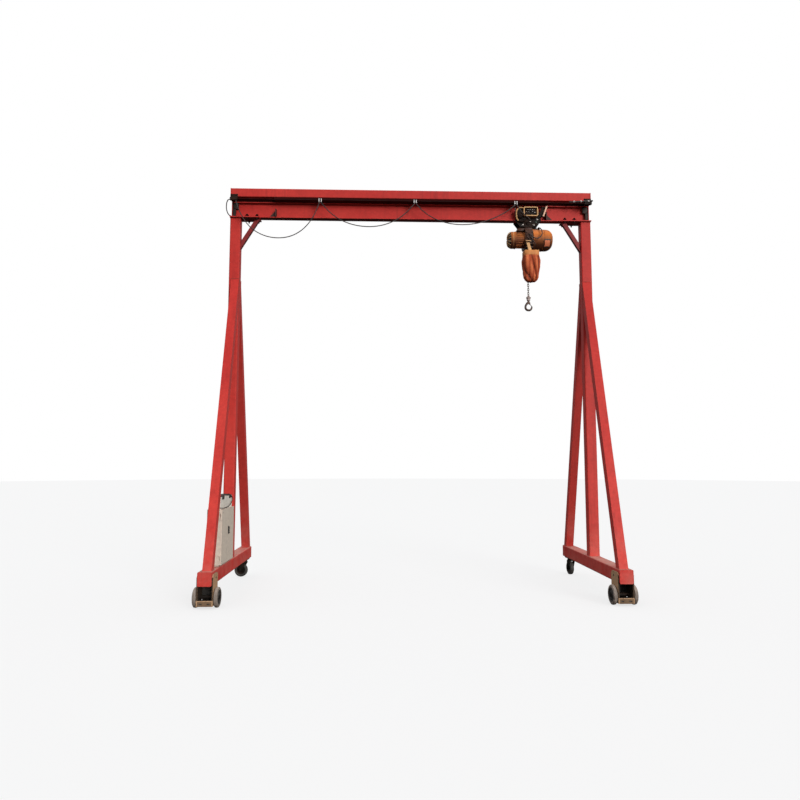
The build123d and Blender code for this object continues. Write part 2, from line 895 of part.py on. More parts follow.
chain_pitch = chain_inner_length - chain_clearance
chain_top = housing_z[0] + chain_entry
chain_bottom = chain_top - chain_inner_length - 2 * chain_wire - (chain_links - 1) * chain_pitch


def load_chain():
    """Links of flat-sided bar, each a quarter turn from the last."""
    length = chain_inner_length + 2 * chain_wire
    width = chain_inner_width + 2 * chain_wire
    eye = SlotOverall(chain_inner_length, chain_inner_width, rotation=90)
    ring = SlotOverall(length, width, rotation=90) - eye
    link = extrude(Plane.XZ * ring, chain_wire / 2, both=True)
    for number in range(chain_links):
        z = chain_top - chain_wire - chain_inner_length / 2 - number * chain_pitch
        save("load_chain", Pos(hoist_x, 0, z) * Rot(0, 0, 90 * (number % 2)) * link)


bag_top_z = housing_z[0] - bag_drop


def bag_hanger():
    """A leaning strap from the housing's face, and the plate that the bag hangs on."""
    face = -housing_width / 2
    top = housing_z[0] + hanger_lap
    left = hoist_x + hanger_offset - hanger_width / 2
    outline = [
        (left, top),
        (left + hanger_width, top),
        (left + hanger_width + hanger_lean, bag_top_z),
        (left + hanger_lean, bag_top_z),
    ]
    hanger = prism(front_plane(face - hanger_plate / 2), outline, hanger_plate / 2)
    x = (hoist_x - hanger_top_width / 2, hoist_x + hanger_top_width / 2)
    y = (-bag_offset - hanger_top_depth / 2, -bag_offset + hanger_top_depth / 2)
    save("bag_hanger", hanger + block(x, y, (bag_top_z, bag_top_z + hanger_plate)))


def chain_bag():
    """A bag that swells and narrows to its bottom, from (share of width, share of height) pairs."""
    low = bag_top_z - bag_height
    sections = []
    for share, level in bag_sections:
        place = Plane(origin=(hoist_x, -bag_offset, low + level * bag_height))
        sections.append(place * RectangleRounded(bag_width * share, bag_depth * share, bag_corner * share))
    save("chain_bag", loft(sections, ruled=True))


block_top_z = chain_bottom - block_top_gap
block_low_z = block_top_z - block_height
hook_centre_z = block_low_z - hook_drop


def hook_block():
    """A tapered collar with two ears, hung on a pin through the last link."""
    neck_z = block_low_z + block_neck
    collar = loft([
        Plane(origin=(hoist_x, 0, neck_z)) * Circle(block_low_diameter / 2),
        Plane(origin=(hoist_x, 0, block_top_z)) * Circle(block_diameter / 2),
    ])
    collar += rod((hoist_x, 0, block_low_z), (hoist_x, 0, neck_z), block_low_diameter)
    pin_z = chain_bottom + chain_wire + chain_pin_diameter / 2 + chain_clearance
    inner = chain_wire / 2 + ear_gap
    ear_y = (-ear_width / 2, ear_width / 2)
    ear_z = (block_top_z - overlap, pin_z + chain_pin_diameter / 2 + ear_wall)
    for way in SIDES:
        collar += block((hoist_x + way * inner, hoist_x + way * (inner + ear_plate)), ear_y, ear_z)
    reach = inner + overlap
    collar += rod((hoist_x - reach, 0, pin_z), (hoist_x + reach, 0, pin_z), chain_pin_diameter)
    save("hook_block", collar)


def drop_outline(radius, neck_radius, neck_height):
    """A drop: a circle and a smaller one above it, inside one tight line."""
    edges = Circle(radius).edges() + (Pos(0, neck_height) * Circle(neck_radius)).edges()
    return make_hull(edges)


def throat_point(reach, across):
    """A place near the hook's throat: along its middle line, and across towards the neck."""
    along = Vector(reach, across).rotate(Axis.Z, hook_throat_angle)
    return along.X, along.Y


latch_pin_at = throat_point(latch_reach, hook_throat_width / 2 + latch_pin_depth)
latch_tip_at = throat_point(latch_reach, latch_gap - hook_throat_width / 2)


def hook_plane():
    return Plane(origin=(hoist_x, 0, hook_centre_z), x_dir=(1, 0, 0), z_dir=(0, -1, 0))


def hook():
    """A drop-shaped hook with an open throat, a round shank and the pin of its latch."""
    outline = drop_outline(hook_outer_radius, hook_neck_radius, hook_neck_height)
    outline -= drop_outline(hook_inner_radius, hook_neck_bore_radius, hook_neck_bore_height)
    reach = hook_outer_radius + hook_inner_radius
    throat = Pos(reach / 2, 0) * Rectangle(reach, hook_throat_width)
    outline -= Rot(0, 0, hook_throat_angle) * throat
    body = extrude(hook_plane() * outline, hook_thickness / 2, both=True)
    notch = Pos(*latch_pin_at) * Circle(latch_notch / 2)
    low = Pos(*throat_point(latch_reach, (hook_throat_width + latch_pin_depth) / 2))
    notch += low * Rectangle(latch_notch, latch_pin_depth + overlap, rotation=hook_throat_angle)
    body -= extrude(hook_plane() * notch, latch_width / 2 + latch_gap, both=True)
    pin = hook_plane() * Pos(*latch_pin_at) * Circle(latch_pin_diameter / 2)
    body += extrude(pin, hook_thickness / 2, both=True)
    low = hook_centre_z + hook_neck_height
    body += rod((hoist_x, 0, low), (hoist_x, 0, block_low_z - shank_gap), shank_diameter)
    save("hook", body)


def hook_latch():
    """A sprung bar that closes the throat, with its eye on the pin."""
    run = Vector(*latch_tip_at) - Vector(*latch_pin_at)
    middle = (Vector(*latch_pin_at) + Vector(*latch_tip_at)) / 2
    bar = Rectangle(latch_thickness, run.length, rotation=hook_throat_angle)
    outline = Pos(middle.X, middle.Y) * bar + Pos(*latch_pin_at) * Circle(latch_eye_diameter / 2)
    outline -= Pos(*latch_pin_at) * Circle(latch_pin_diameter / 2 + bore_gap)
    save("hook_latch", extrude(hook_plane() * outline, latch_width / 2, both=True))


# Festoon
def guide_wire():
    reach = beam_half - wire_bracket_width / 2
    save("guide_wire", rod((-reach, wire_y, wire_z), (reach, wire_y, wire_z), wire_diameter))
    half = wire_bracket_arm / 2
    face = -cap_width / 2
    for sign in SIDES:
        x = (sign * beam_half, sign * (beam_half - wire_bracket_width))
        bracket = block(x, (wire_y - wire_bracket_nose, face), (wire_z - half, wire_z + half))
        plate_z = (wire_z - half, wire_z - half + wire_bracket_height)
        bracket += block(x, (face - wire_bracket_plate, face), plate_z)
        bracket -= rod((x[0] - sign * beam_half, wire_y, wire_z), (x[0], wire_y, wire_z), wire_diameter)
        save("wire_brackets", bracket)


def clip(x):
    half = clip_length / 2
    body = block((x - half, x + half), (wire_y - clip_width / 2, wire_y + clip_width / 2),
                 (wire_z + clip_top - clip_height, wire_z + clip_top))
    return body - rod((x - clip_length, wire_y, wire_z), (x + clip_length, wire_y, wire_z),
                      wire_diameter + 2 * clip_bore_gap)


def clips():
    save("festoon_clip_1", clip(clip_1_x))
    save("festoon_clip_2", clip(clip_2_x))
    tow = clip(tow_clip_x)
    arm_x = (tow_clip_x + clip_length / 2 - tow_arm_width, tow_clip_x + clip_length / 2)
    arm_z = (wire_z - tow_arm_top - tow_arm_height, wire_z - tow_arm_top)
    tow += block(arm_x, (-plate_outer_y, wire_y + clip_width / 2), arm_z)
    lug_x = (arm_x[0], hoist_x - gear_cover_offset - gear_cover_width / 2 - running_gap)
    lug_y = (-plate_outer_y - tow_lug_plate, -plate_outer_y)
    tow += block(lug_x, lug_y, (plate_top_z - tow_lug_height, arm_z[1]))
    save("tow_clip", tow)


def cable(name, points, diameter):
    """A tube along straight runs joined by arcs as large as the runs allow."""
    radii = []
    for before, here, after in zip(points, points[1:], points[2:]):
        first = Vector(*here) - Vector(*before)
        second = Vector(*after) - Vector(*here)
        turn = radians(first.get_angle(second))
        radii.append(cable_bend_share * min(first.length, second.length) / tan(turn / 2))
    path = FilletPolyline(*points, radius=radii)
    start = Plane(origin=points[0], z_dir=Vector(*points[1]) - Vector(*points[0]))
    tube = sweep(start * Circle(diameter / 2), path=path)
    share = tube.volume / (pi * diameter ** 2 / 4 * path.length)
    print(f"{name}: length {path.length:.0f}, smallest radius {min(radii):.0f}, volume share {share:.4f}")
    save(name, tube)


def place_route(place, route):
    """The points of a route that is given from a place."""
    return [tuple(start + step for start, step in zip(place, point)) for point in route]


# Each loop: where it starts and ends along the beam, and its points from its start and the wire
festoon_routes = {
    "festoon_loop_1": ((loop_start_inset - beam_half, clip_1_x - loop_clip_gap), [
        (0, -18.3), (18, -90), (54, -178), (116, -286), (196, -378), (301, -450), (426, -494),
        (561, -505), (691, -482), (806, -422), (901, -332), (971, -228), (1018, -122),
        (1052, -30.2),
    ]),
    "festoon_loop_2": ((clip_1_x + loop_clip_gap, clip_2_x - loop_clip_gap), [
        (0, -32), (65, -112), (155, -198), (265, -268), (390, -316), (525, -341), (665, -343),
        (802, -318), (926, -268), (1034, -198), (1122, -112), (1189, -32),
    ]),
    "festoon_loop_3": ((clip_2_x + loop_clip_gap, tow_clip_x - loop_tow_gap), [
        (0, -32.2), (67, -108), (153, -180), (261, -240), (387, -282), (527, -303), (673, -300),
        (819, -274), (959, -228), (1085, -169), (1193, -101), (1275, -32.8),
    ]),
}


def festoon_loops():
    for name, ((start, end), route) in festoon_routes.items():
        stretch = (end - start) / route[-1][0]
        points = [(start + along * stretch, wire_y, wire_z + rise) for along, rise in route]
        cable(name, points, cable_diameter)


# Short cables, held along their whole length, each from a place on what holds it
cable_routes = (
    ("cabinet_cable", (cabinet_front_x, head_near_y, cabinet_z[1]), head_cable_diameter, [
        (-50, -3.1, 44), (-49, -17, 34), (-30, -29, 22), (0, -21, 16), (15, 23, 13), (15, 123, 12),
        (15, 253, 14), (15, 353, 32), (15, 438, 60), (15, 478, 94), (13, 448, 128), (-1, 393, 148),
        (-30, 363, 152), (-45, 359, 139),
    ]),
    ("trolley_cable", (hoist_x, -plate_outer_y, beam_bottom), cable_diameter, [
        (-163, -99, 165.1), (-156, -101, 141), (-130, -104, 99), (-88, -104, 54), (-38, -102, 8),
        (2, -84, -19), (32, -46, -29), (43, -2, -31),
    ]),
    ("hoist_cable", (hoist_x, -housing_width / 2, hoist_z), cable_diameter, [
        (-14, -2.9, 44), (-10, -35, 32), (5, -57, 10), (30, -63, -16), (60, -63, -32),
        (92, -63, -34), (122, -61, -20), (144, -57, 12), (154, -47, 48), (152, -25, 88),
        (142, 13, 128), (132, 45, 139), (130, 61, 126.2),
    ]),
    ("end_cables", (-beam_half, -cap_width / 2, cap_bottom), cable_diameter, [
        (-3, -25, -13), (-24, -25, -21), (-40, -20, -53), (-47, -10, -118), (-40, 20, -165),
        (-26, 50, -189), (-5.6, 80, -191),
    ]),
    ("end_cables", (beam_half, -cap_width / 2, cap_bottom), bundle_diameter, [
        (-280, -3, 19), (-254, -14, 15), (-180, -18, 17), (-100, -19, 25), (-25, -18, 29),
        (12, -10, 35), (24, 12, 43), (19, 34, 49), (8, 48, 51),
    ]),
)


def short_cables():
    for name, place, diameter, route in cable_routes:
        cable(name, place_route(place, route), diameter)


def main():
    for make in (
        i_beam, beam_cap, beam_end_plates, saddle_plates, posts, diagonals, bottom_rails, knee_braces,
        front_brackets, front_wheels, rear_castors, cabinet_body, cabinet_door, cabinet_head,
        trolley_side_plates, bumper_bracket, trolley_wheels, suspension_bar, trolley_gearbox, trolley_box,
        trolley_stops, hoist_housing, hoist_motor, control_cover, load_chain, bag_hanger, chain_bag,
        hook_block, hook, hook_latch, guide_wire, clips, festoon_loops, short_cables,
    ):
        make()
    export_nodes()


main()
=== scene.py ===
"""Looks of a portal gantry crane: finishes, cables, chain bag, welds, bolts and trims.

Lengths are in metres in the crane's own frame: X along the beam, -Y towards the festoon cable
and the camera, Z up, with the origin on the floor under the middle of the beam.
"""

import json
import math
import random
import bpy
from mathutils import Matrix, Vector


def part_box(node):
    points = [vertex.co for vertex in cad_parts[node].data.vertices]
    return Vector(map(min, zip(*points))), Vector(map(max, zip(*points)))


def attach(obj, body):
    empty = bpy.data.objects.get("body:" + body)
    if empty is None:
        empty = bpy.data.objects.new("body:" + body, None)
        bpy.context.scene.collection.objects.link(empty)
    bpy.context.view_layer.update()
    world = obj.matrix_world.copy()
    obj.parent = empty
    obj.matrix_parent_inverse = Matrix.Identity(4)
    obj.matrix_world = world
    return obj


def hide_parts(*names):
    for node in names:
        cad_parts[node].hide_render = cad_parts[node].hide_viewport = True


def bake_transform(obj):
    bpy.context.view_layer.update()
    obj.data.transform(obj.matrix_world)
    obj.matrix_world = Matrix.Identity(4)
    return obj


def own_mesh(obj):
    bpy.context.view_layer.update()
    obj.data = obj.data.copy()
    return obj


bl_info = {
    "name": "Gantry Crane Looks",
    "version": (1, 0, 0),
    "blender": (4, 5, 0),
    "location": "3D View > Sidebar > Crane",
    "description": "Dresses a gantry crane with paint, cables, a chain bag, welds and fasteners",
    "category": "Object",
}

import bmesh
import bpy
from bpy.props import FloatProperty, FloatVectorProperty, IntProperty, PointerProperty
from bpy.types import Operator, Panel, PropertyGroup
from mathutils import Matrix, Vector

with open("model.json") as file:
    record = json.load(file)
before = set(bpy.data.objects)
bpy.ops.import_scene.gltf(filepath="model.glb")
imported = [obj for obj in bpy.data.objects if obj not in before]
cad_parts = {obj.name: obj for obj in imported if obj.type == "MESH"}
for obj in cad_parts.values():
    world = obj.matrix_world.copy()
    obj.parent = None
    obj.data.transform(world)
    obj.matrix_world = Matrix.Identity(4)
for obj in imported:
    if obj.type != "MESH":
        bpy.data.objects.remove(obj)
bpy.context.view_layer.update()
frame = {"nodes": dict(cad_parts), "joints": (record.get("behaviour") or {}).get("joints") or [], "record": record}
nodes = frame["nodes"]

X_AXIS = Vector((1, 0, 0))
Y_AXIS = Vector((0, 1, 0))
Z_AXIS = Vector((0, 0, 1))
SIDES = (-1, 1)
LEGS = ("left", "right")


def middle(node):
    """The middle of a node's box."""
    low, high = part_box(node)
    return (low + high) / 2


RAIL_LOW, RAIL_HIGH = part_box("bottom_rail_right")
LEG_X = (RAIL_LOW.x + RAIL_HIGH.x) / 2
BRACKET_GAP = (RAIL_HIGH.x - RAIL_LOW.x) / 2 + 0.002
SWEEPER_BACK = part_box("front_bracket_right")[0].y + 0.0075
SWEEPER_TOP = 0.0795

# Settings that the sidebar shows

def colour_setting(name, description, default):
    return FloatVectorProperty(
        name=name, description=description, subtype="COLOR", size=3, min=0, max=1, default=default)


def length_setting(name, description, low, high, default):
    return FloatProperty(
        name=name, description=description, unit="LENGTH", min=low, max=high, default=default)


def share_setting(name, description, default):
    return FloatProperty(
        name=name, description=description, subtype="FACTOR", min=0, max=1, default=default)


def count_setting(name, description, low, high, default):
    return IntProperty(name=name, description=description, min=low, max=high, default=default)


class CranePaints(PropertyGroup):
    frame_red: colour_setting("Frame red", "Paint of the beam and the legs", (0.46, 0.020, 0.016))
    # The faded red is also mixed in low on the crane as painted light.
    faded_red: colour_setting(
        "Faded red", "Frame paint where the sun has faded it", (0.66, 0.056, 0.042))
    hoist_orange: colour_setting(
        "Hoist orange", "Enamel of the hoist and the trolley drive", (0.60, 0.150, 0.022))
    primer_brown: colour_setting(
        "Primer brown", "Primer on the front wheel brackets", (0.42, 0.23, 0.11))
    cabinet_grey: colour_setting("Cabinet grey", "Enamel of the control cabinet", (0.66, 0.56, 0.45))
    bag_orange: colour_setting("Bag orange", "Coated cloth of the chain bag", (0.44, 0.070, 0.020))
    dust: colour_setting("Dust", "Dust on faces that look up", (0.62, 0.44, 0.36))
    dustiness: share_setting("Dustiness", "How much dust lies on the crane", 0.5)
    wear: share_setting("Wear", "How much paint has chipped off the edges", 0.75)


class CraneCables(PropertyGroup):
    cable_diameter: length_setting("Cable", "Diameter of the festoon cable", 0.004, 0.03, 0.012)
    cable_lines: count_setting(
        "Cable facets", "The cable's round section has four times this many sides", 1, 8, 3)
    tie_width: length_setting("Tie width", "Width of the white ties at the clips", 0.002, 0.02, 0.007)


class CraneBag(PropertyGroup):
    cloth_rings: count_setting("Cloth rings", "Rings of points down the bag", 16, 128, 64)
    cloth_sides: count_setting("Cloth sides", "Points round the bag", 40, 320, 160)
    band_height: length_setting(
        "Band", "Height of the hemmed band at the bag's mouth", 0.02, 0.12, 0.058)
    fold_count: count_setting("Folds", "Number of folds round the bag", 3, 16, 7)
    fold_depth: length_setting("Fold depth", "How deep the folds run", 0.002, 0.04, 0.026)
    cloth: length_setting("Cloth", "Thickness of the coated cloth", 0.0005, 0.004, 0.0015)


class CraneHoist(PropertyGroup):
    fin_thickness: length_setting("Fin thickness", "Thickness of a cooling fin", 0.001, 0.006, 0.003)
    fan_ribs: count_setting("Fan ribs", "Number of ribs over the motor's fan", 6, 30, 14)
    fin_count: count_setting("Motor fins", "Number of cooling fins round the motor", 6, 60, 26)
    fin_height: length_setting("Fin height", "How far the fins stand out", 0.002, 0.02, 0.008)
    cowl_length: length_setting(
        "Fan cowl", "Length of the cowl over the motor's fan", 0.03, 0.15, 0.094)
    dome_length: length_setting(
        "Dome", "Length of the rounded end of the control cover", 0.03, 0.15, 0.092)
    link_sides: count_setting("Link facets", "Facets round the wire of a chain link", 6, 24, 10)


class CraneWheels(PropertyGroup):
    hub_circle: length_setting("Bolt circle", "Radius of the ring of hub bolts", 0.046, 0.06, 0.056)
    tread_crown: length_setting(
        "Tread crown", "How much the tread stands out in its middle", 0, 0.01, 0.003)
    disc_recess: length_setting(
        "Disc recess", "How deep the wheel disc lies in its rim", 0.002, 0.02, 0.009)
    hub_bolts: count_setting("Hub bolts", "Number of bolts on each wheel disc", 3, 10, 5)


class CraneFasteners(PropertyGroup):
    bolt_size: length_setting("Bolt size", "Thread diameter of the saddle bolts", 0.008, 0.03, 0.016)
    weld_leg: length_setting("Weld", "Width of a weld bead", 0.003, 0.015, 0.008)


class CraneStage(PropertyGroup):
    floor_tone: FloatProperty(
        name="Floor tone", description="Brightness of the pale floor", subtype="FACTOR",
        min=0, max=1, default=0.86)
    floor_glow: FloatProperty(
        name="Floor glow", description="How much of the floor shines by itself", subtype="FACTOR",
        min=0, max=1, default=0.72)
    key_strength: FloatProperty(
        name="Key light", description="Strength of the large soft light", min=0, max=20, default=2.35)
    sky_strength: FloatProperty(
        name="Sky light", description="Strength of the light all round", min=0, max=4, default=0.55)
    focal_length: FloatProperty(
        name="Focal length", description="Focal length in millimetres on a 36 mm frame",
        min=10, max=200, default=29.623)
    camera_place: FloatVectorProperty(
        name="Camera", description="Where the camera stands", subtype="TRANSLATION", unit="LENGTH",
        size=3, default=(-0.4282, -8.2379, 1.5289))
    camera_pitch: FloatProperty(
        name="Camera pitch", description="How far the camera looks up", subtype="ANGLE",
        default=0.0963)
    camera_yaw: FloatProperty(
        name="Camera yaw", description="How far the camera looks to the right", subtype="ANGLE",
        default=0.0335)


# Shader nodes

def socket(sockets, key):
    """The socket with that identifier, or else that name."""
    for found in sockets:
        if found.identifier == key:
            return found
    return sockets[key.replace("_", " ")]


def add(tree, kind, settings=None, **inputs):
    """Adds a node, sets its options, and links or sets its inputs."""
    node = tree.nodes.new(kind)
    for key, value in (settings or {}).items():
        setattr(node, key, value)
    for key, value in inputs.items():
        target = socket(node.inputs, key)
        if isinstance(value, bpy.types.NodeSocket):
            tree.links.new(value, target)
        else:
            target.default_value = value
    return node


def remap(tree, value, low, high, to_low=0.0, to_high=1.0):
    node = add(tree, "ShaderNodeMapRange", None, Value=value, From_Min=low, From_Max=high,
               To_Min=to_low, To_Max=to_high)
    return node.outputs["Result"]


def calc(tree, operation, first, second=0.0, clamp=False):
    settings = {"operation": operation, "use_clamp": clamp}
    node = add(tree, "ShaderNodeMath", settings, Value=first, Value_001=second)
    return node.outputs["Value"]


def mixed(tree, share, first, second, blend="MIX"):
    settings = {"data_type": "RGBA", "blend_type": blend}
    node = add(tree, "ShaderNodeMix", settings, Factor_Float=share, A_Color=first, B_Color=second)
    return socket(node.outputs, "Result_Color")


def noise(tree, coordinates, scale, detail=4.0, roughness=0.55):
    node = add(tree, "ShaderNodeTexNoise", None, Vector=coordinates, Scale=scale, Detail=detail,
               Roughness=roughness)
    return node.outputs["Fac"]


def object_coordinates(tree):
    return add(tree, "ShaderNodeTexCoord").outputs["Object"]


def stretched(tree, coordinates, scale):
    """The coordinates multiplied along each axis."""
    return add(tree, "ShaderNodeMapping", None, Vector=coordinates, Scale=scale).outputs["Vector"]


def rgba(colour):
    return (*colour, 1.0)


def new_group(name, inputs, outputs):
    """A shader group with named sockets, its input node and its output node."""
    group = bpy.data.node_groups.new(name, "ShaderNodeTree")
    for label, default in inputs.items():
        kind = "NodeSocketColor" if isinstance(default, tuple) else "NodeSocketFloat"
        group.interface.new_socket(label, in_out="INPUT", socket_type=kind).default_value = default
    for label in outputs:
        kind = "NodeSocketColor" if label == "Colour" else "NodeSocketFloat"
        group.interface.new_socket(label, in_out="OUTPUT", socket_type=kind)
    return group, group.nodes.new("NodeGroupInput").outputs, group.nodes.new("NodeGroupOutput").inputs


def placed(tree, name, **inputs):
    """Puts a shared group, built at its first use, into a material or group with its own values."""
    group = bpy.data.node_groups.get(name) or GROUP_MAKERS[name](name)
    return add(tree, "ShaderNodeGroup", {"node_tree": group}, **inputs).outputs


def edge_group(name):
    """A mask of the outer edges, broken up as chips are."""
    group, given, result = new_group(name, {"Radius": 0.004, "Amount": 0.5}, ("Mask", "Edge"))
    soft = add(group, "ShaderNodeBevel", {"samples": 4}, Radius=given["Radius"])
    flat = add(group, "ShaderNodeNewGeometry")
    dot = add(group, "ShaderNodeVectorMath", {"operation": "DOT_PRODUCT"},
              Vector=soft.outputs["Normal"], Vector_001=flat.outputs["Normal"])
    edge = remap(group, dot.outputs["Value"], 0.995, 0.86)
    coordinates = object_coordinates(group)
    chips = noise(group, coordinates, 38.0, 6.0, 0.62)
    broken = remap(group, chips, 0.50, 0.62)
    worn = calc(group, "MULTIPLY", edge, broken)
    worn = calc(group, "MULTIPLY", worn, given["Amount"], clamp=True)
    spots = remap(group, noise(group, coordinates, 16.0, 10.0, 0.7), 0.69, 0.72)
    spots = calc(group, "MULTIPLY", spots, given["Amount"], clamp=True)
    group.links.new(calc(group, "MAXIMUM", worn, spots), result["Mask"])
    group.links.new(edge, result["Edge"])
    return group


def dust_group(name):
    """A mask of the dust that lies on faces that look up, and hangs low on the legs."""
    group, given, result = new_group(name, {"Amount": 0.5, "Scale": 6.0}, ("Mask",))
    normal = add(group, "ShaderNodeNewGeometry").outputs["Normal"]
    parts = add(group, "ShaderNodeSeparateXYZ", None, Vector=normal).outputs
    up = remap(group, parts["Z"], 0.35, 0.95)
    coordinates = object_coordinates(group)
    patches = remap(group, noise(group, coordinates, given["Scale"], 7.0, 0.6), 0.30, 0.62)
    lying = calc(group, "MULTIPLY", up, calc(group, "MULTIPLY_ADD", patches, 0.55))
    low = add(group, "ShaderNodeSeparateXYZ", None, Vector=coordinates).outputs["Z"]
    spots = remap(group, patches, 0.2, 1.0, 0.0, 0.34)
    splash = calc(group, "MULTIPLY", remap(group, low, 1.0, 0.1), spots)
    mask = calc(group, "MULTIPLY", calc(group, "ADD", lying, splash), given["Amount"], clamp=True)
    group.links.new(mask, result["Mask"])
    return group


def streak_group(name):
    """Runs of rain-washed grime down the upright faces."""
    group, given, result = new_group(name, {"Amount": 0.5}, ("Mask",))
    coordinates = object_coordinates(group)
    runs = noise(group, stretched(group, coordinates, (22.0, 22.0, 0.9)), 1.0, 6.0, 0.6)
    patches = noise(group, coordinates, 1.7, 3.0)
    mask = calc(group, "MULTIPLY", remap(group, runs, 0.50, 0.74), remap(group, patches, 0.38, 0.66))
    group.links.new(calc(group, "MULTIPLY", mask, given["Amount"], clamp=True), result["Mask"])
    return group


def aged_shaded_group(name):
    """Paint that has faded, gathered dust and grime, and chipped at its edges, with painted shade on faces that
    turn down and painted light low on the crane.
    """
    group, given, result = new_group(
        name,
        {"Paint": (0.5, 0.5, 0.5, 1), "Faded": (0.6, 0.6, 0.6, 1), "Dust": (0.5, 0.45, 0.4, 1),
         "Grime": (0.04, 0.02, 0.015, 1), "Bare": (0.10, 0.045, 0.025, 1), "Fading": 0.6, "Dustiness": 0.5,
         "Wear": 0.5, "Streaks": 0.4, "Gloss": 0.45, "Under": 0.6, "Turn": 0.04},
        ("Colour", "Roughness", "Height"))
    coordinates = object_coordinates(group)
    broad = noise(group, coordinates, 1.4, 5.0, 0.6)
    height = add(group, "ShaderNodeSeparateXYZ", None, Vector=coordinates).outputs["Z"]
    # Painted light: low on the crane the paint is mixed towards the lighter faded colour, where the lower members
    # look brighter.
    painted_low_light = remap(group, height, 3.6, 0.6, 0.0, 0.9)
    fade_and_low_light = calc(group, "ADD", remap(group, broad, 0.36, 0.66, 0.0, 0.75), painted_low_light)
    fade_and_low_light = calc(group, "MULTIPLY", fade_and_low_light, given["Fading"], clamp=True)
    colour = mixed(group, fade_and_low_light, given["Paint"], given["Faded"])
    fine = remap(group, noise(group, coordinates, 26.0, 8.0, 0.65), 0.3, 0.7, 0.86, 1.10)
    tone = add(group, "ShaderNodeCombineColor", None, Red=fine, Green=fine, Blue=fine).outputs["Color"]
    colour = mixed(group, 1.0, colour, tone, "MULTIPLY")
    streaks = placed(group, "Streaks", Amount=given["Streaks"])["Mask"]
    colour = mixed(group, streaks, colour, given["Grime"])
    # Painted shade: faces that turn down past Turn are mixed towards the grime colour, as shade under things.
    facing = add(group, "ShaderNodeNewGeometry").outputs["Normal"]
    facing = add(group, "ShaderNodeSeparateXYZ", None, Vector=facing).outputs["Z"]
    patchy = remap(group, broad, 0.35, 0.60, 0.75, 1.0)
    under = calc(group, "MULTIPLY", remap(group, facing, given["Turn"], -0.62), patchy)
    under = calc(group, "MULTIPLY", under, given["Under"], clamp=True)
    colour = mixed(group, under, colour, given["Grime"])
    dust = placed(group, "Dust", Amount=given["Dustiness"])["Mask"]
    colour = mixed(group, dust, colour, given["Dust"])
    chips = placed(group, "Edge Wear", Amount=given["Wear"])["Mask"]
    colour = mixed(group, chips, colour, given["Bare"])
    rough = calc(group, "ADD", given["Gloss"], calc(group, "MULTIPLY", broad, 0.16))
    matt = calc(group, "MULTIPLY", calc(group, "MAXIMUM", dust, chips), 0.30)
    rough = calc(group, "ADD", rough, matt, clamp=True)
    peel = calc(group, "MULTIPLY", noise(group, coordinates, 260.0, 2.0), 0.18)
    height = calc(group, "SUBTRACT", peel, calc(group, "MULTIPLY", chips, 0.8))
    group.links.new(colour, result["Colour"])
    group.links.new(rough, result["Roughness"])
    group.links.new(height, result["Height"])
    return group


def weave_group(name):
    """The height of a plain weave, and the light and dark of its threads."""
    group, given, result = new_group(name, {"Threads": 420.0}, ("Height", "Tone"))
    uv = add(group, "ShaderNodeUVMap").outputs["UV"]
    waves = []
    for direction in ("X", "Y"):
        wave = add(group, "ShaderNodeTexWave", {"bands_direction": direction}, Vector=uv,
                   Scale=given["Threads"], Distortion=0.6, Detail=1.0)
        waves.append(wave.outputs["Fac"])
    height = calc(group, "MULTIPLY", waves[0], waves[1])
    group.links.new(height, result["Height"])
    group.links.new(remap(group, height, 0.0, 1.0, 0.88, 1.06), result["Tone"])
    return group


GROUP_MAKERS = {
    "Edge Wear": edge_group, "Dust": dust_group, "Streaks": streak_group,
    "Aged Paint": aged_shaded_group, "Weave": weave_group,
}


def emptied(owner):
    """The node tree of a material or a world, without the nodes it starts with."""
    owner.use_nodes = True
    owner.node_tree.nodes.clear()
    return owner.node_tree


def new_material(name):
    """A node material with its shader and its surface linked."""
    material = bpy.data.materials.new(name)
    tree = emptied(material)
    shader = tree.nodes.new("ShaderNodeBsdfPrincipled")
    surface = tree.nodes.new("ShaderNodeOutputMaterial")
    tree.links.new(shader.outputs["BSDF"], surface.inputs["Surface"])
    return material, tree, shader


def feed(tree, shader, colour=None, roughness=None, metallic=None):
    for name, value in (("Base Color", colour), ("Roughness", roughness), ("Metallic", metallic)):
        if isinstance(value, bpy.types.NodeSocket):
            tree.links.new(value, shader.inputs[name])
        elif value is not None:
            shader.inputs[name].default_value = value


def bump(tree, shader, height, distance, strength=0.5):
    node = add(tree, "ShaderNodeBump", None, Height=height, Distance=distance, Strength=strength)
    tree.links.new(node.outputs["Normal"], shader.inputs["Normal"])


def chosen_colour(value):
    """A colour as it is given, or the sidebar's colour of that name."""
    return getattr(bpy.context.scene.crane_paints, value) if isinstance(value, str) else value


def lighter(colour, share):
    """The colour mixed with white by that share."""
    return tuple(channel + (1 - channel) * share for channel in colour)


def aged_shaded_paint(name, paint, faded=None, wear=1.0, dustiness=1.0, fade_and_low_light=0.6, streaks=0.4, gloss=0.46,
               bare=(0.10, 0.045, 0.025), grime=(0.05, 0.010, 0.008), under=0.75, turn=0.04, shine=0.2):
    """A paint finish with its own colours, aged by the shared group, which also paints shade on faces that turn
    down and light low on the crane.
    """
    settings = bpy.context.scene.crane_paints
    paint = chosen_colour(paint)
    faded = chosen_colour(faded) if faded else lighter(paint, 0.12)
    material, tree, shader = new_material(name)
    aged = placed(tree, "Aged Paint", Paint=rgba(paint), Faded=rgba(faded), Dust=rgba(settings.dust),
                  Grime=rgba(grime), Bare=rgba(bare), Fading=fade_and_low_light,
                  Dustiness=settings.dustiness * dustiness, Wear=settings.wear * wear,
                  Streaks=streaks, Gloss=gloss, Under=under, Turn=turn)
    feed(tree, shader, aged["Colour"], aged["Roughness"])
    bump(tree, shader, aged["Height"], 0.0008)
    shader.inputs["Specular IOR Level"].default_value = shine
    return material


